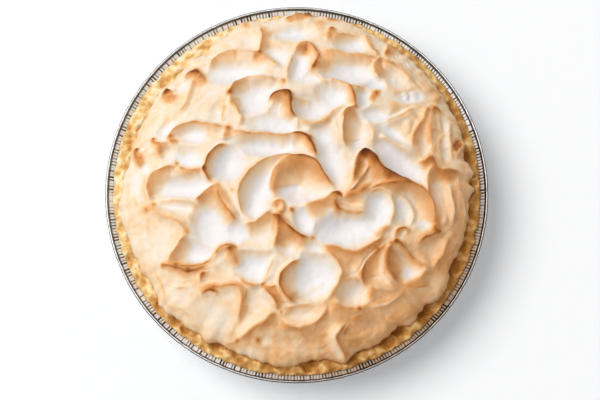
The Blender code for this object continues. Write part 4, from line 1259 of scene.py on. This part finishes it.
def meringue_material():
    """Toasted meringue: matt and a little translucent, coloured by the browning painted on it, with one
    patch of painted shadow.
    """
    material, shader, nodes, links = new_material("toasted_meringue")
    shader.inputs["Roughness"].default_value = 0.55
    shader.inputs["Specular IOR Level"].default_value = 0.15
    shader.inputs["Subsurface Weight"].default_value = 0.25
    shader.inputs["Subsurface Radius"].default_value = (0.004, 0.003, 0.002)
    mottle = grain(nodes, scale=260, detail=5, roughness=0.7, low=0.82, high=1.18)
    toast_and_shade = worked_out(nodes, links, "MULTIPLY", attribute(nodes, "toast_and_shade"), mottle.outputs["Value"])
    stops = [(browning / FULL_TOAST, colour) for browning, colour in MERINGUE_TONES]
    links.new(toned(nodes, links, toast_and_shade, stops), shader.inputs["Base Color"])
    foam = grain(nodes, scale=700, detail=3, relief=0.12 * MM)
    links.new(foam.outputs["Normal"], shader.inputs["Normal"])
    return material


# ---------------------------------------------------------------- stage


def paper_material():
    """White paper for the floor, with a faint grain."""
    material, shader, nodes, links = new_material("white_floor")
    paper = grain(nodes, scale=120, detail=2, relief=0.02 * MM)
    tone = toned(nodes, links, paper.outputs["Value"], PAPER_TONES)
    links.new(tone, shader.inputs["Base Color"])
    links.new(paper.outputs["Normal"], shader.inputs["Normal"])
    shader.inputs["Roughness"].default_value = 0.9
    return material


def stand(name, data, place, back):
    """Stands a light or a camera at a place, looking away from the direction at its back."""
    thing = bpy.data.objects.new(name, data)
    bpy.context.collection.objects.link(thing)
    thing.location = place
    thing.rotation_euler = back.to_track_quat("Z", "Y").to_euler()
    return thing


def make_stage(settings):
    """A white floor, soft light from all round, one large window and the camera."""
    scene = bpy.context.scene
    deselect_all()
    bpy.ops.mesh.primitive_plane_add(size=settings.floor_size)
    floor = bpy.context.object
    floor.name = "studio_floor"
    floor.data.materials.append(paper_material())
    world = bpy.data.worlds.new("soft_studio")
    world.use_nodes = True
    room = world.node_tree.nodes["Background"]
    room.inputs["Color"].default_value = ROOM_COLOUR
    room.inputs["Strength"].default_value = settings.fill
    scene.world = world
    key = bpy.data.lights.new("window_light", "AREA")
    key.shape = "DISK"
    key.size = settings.key_size
    key.energy = settings.key_power
    level = cos(WINDOW_LIFT)
    out = Vector((cos(WINDOW_HEADING) * level, sin(WINDOW_HEADING) * level, sin(WINDOW_LIFT)))
    out = out * WINDOW_DISTANCE
    stand("window_light", key, out, out)
    camera = bpy.data.cameras.new("camera")
    camera.lens = CAMERA_LENS
    camera.sensor_width = SENSOR_WIDTH
    back = Vector((0, -cos(settings.elevation), sin(settings.elevation)))
    place = Vector(CAMERA_AIM) + back * settings.distance
    scene.camera = stand("camera", camera, place, back)
    scene.view_settings.view_transform = "Standard"


# ---------------------------------------------------------------- add-on


class PIE_PG_foil_tin(bpy.types.PropertyGroup):
    pleats: bpy.props.IntProperty(
        name="Pleats", description="Pleats pressed into the wall", default=376, min=40
    )
    pleat_depth: bpy.props.FloatProperty(
        name="Pleat depth",
        description="How far a pleat stands in or out",
        default=0.3 * MM,
        unit="LENGTH",
    )
    colour: bpy.props.FloatVectorProperty(
        name="Foil", description="Colour of the foil", default=(0.96, 0.97, 0.98), subtype="COLOR"
    )


class PIE_PG_crust(bpy.types.PropertyGroup):
    lump_height: bpy.props.FloatProperty(
        name="Lump height",
        description="Unevenness of the pastry rim",
        default=0.8 * MM,
        unit="LENGTH",
    )


class PIE_PG_meringue(bpy.types.PropertyGroup):
    browning: bpy.props.FloatProperty(
        name="Browning",
        description="How well the meringue is browned, 1 as made",
        default=1.0,
        min=0.0,
        max=1.5,
    )
    fold_height: bpy.props.FloatProperty(
        name="Fold height",
        description="Height of the small folds between swirls",
        default=0.5 * MM,
        unit="LENGTH",
    )


class PIE_PG_stage(bpy.types.PropertyGroup):
    floor_size: bpy.props.FloatProperty(
        name="Floor", description="Side of the square floor", default=6.0, unit="LENGTH"
    )
    fill: bpy.props.FloatProperty(
        name="Fill light", description="Strength of the light from all round", default=0.5
    )
    key_size: bpy.props.FloatProperty(
        name="Window", description="Width of the main light", default=4.6, unit="LENGTH"
    )
    key_power: bpy.props.FloatProperty(
        name="Window power",
        description="Power of the main light",
        default=275.0,
        subtype="POWER",
    )
    elevation: bpy.props.FloatProperty(
        name="Camera height",
        description="Camera's angle above the table",
        default=radians(79.4),
        subtype="ANGLE",
    )
    distance: bpy.props.FloatProperty(
        name="Camera distance",
        description="Camera to the middle of the rim, nearly",
        default=0.8488,
        unit="LENGTH",
    )


class PIE_OT_foil_tin(bpy.types.Operator):
    """Adds the pleated foil tin"""

    bl_idname = "pie.add_foil_tin"
    bl_label = "Foil tin"

    def execute(self, context):
        make_foil_tin(context.scene.pie_foil_tin)
        return {"FINISHED"}


class PIE_OT_crust(bpy.types.Operator):
    """Adds the pastry rim"""

    bl_idname = "pie.add_crust"
    bl_label = "Crust"

    def execute(self, context):
        make_crust(context.scene.pie_crust)
        return {"FINISHED"}


class PIE_OT_meringue(bpy.types.Operator):
    """Adds the meringue"""

    bl_idname = "pie.add_meringue"
    bl_label = "Meringue"

    def execute(self, context):
        make_meringue(context.scene.pie_meringue)
        return {"FINISHED"}


class PIE_OT_stage(bpy.types.Operator):
    """Adds the floor, the lights and the camera"""

    bl_idname = "pie.add_stage"
    bl_label = "Stage"

    def execute(self, context):
        make_stage(context.scene.pie_stage)
        return {"FINISHED"}


PARTS = (
    ("pie_foil_tin", PIE_PG_foil_tin, PIE_OT_foil_tin),
    ("pie_crust", PIE_PG_crust, PIE_OT_crust),
    ("pie_meringue", PIE_PG_meringue, PIE_OT_meringue),
    ("pie_stage", PIE_PG_stage, PIE_OT_stage),
)


class PIE_PT_builder(bpy.types.Panel):
    """Lists the pieces of the pie"""

    bl_idname = "PIE_PT_builder"
    bl_label = "Lemon meringue pie"
    bl_space_type = "VIEW_3D"
    bl_region_type = "UI"
    bl_category = "Pie"

    def draw(self, context):
        for name, _, operator in PARTS:
            box = self.layout.box()
            settings = getattr(context.scene, name)
            for key in settings.bl_rna.properties.keys():
                if key not in ("rna_type", "name"):
                    box.prop(settings, key)
            box.operator(operator.bl_idname)


CLASSES = [cls for _, *pair in PARTS for cls in pair] + [PIE_PT_builder]


def register():
    for cls in CLASSES:
        bpy.utils.register_class(cls)
    for name, group, _ in PARTS:
        setattr(bpy.types.Scene, name, bpy.props.PointerProperty(type=group))


def unregister():
    for name, _, _ in PARTS:
        delattr(bpy.types.Scene, name)
    for cls in reversed(CLASSES):
        bpy.utils.unregister_class(cls)


def main():
    register()
    bpy.ops.pie.add_foil_tin()
    bpy.ops.pie.add_crust()
    bpy.ops.pie.add_meringue()
    bpy.ops.pie.add_stage()


if __name__ == "__main__":
    main()
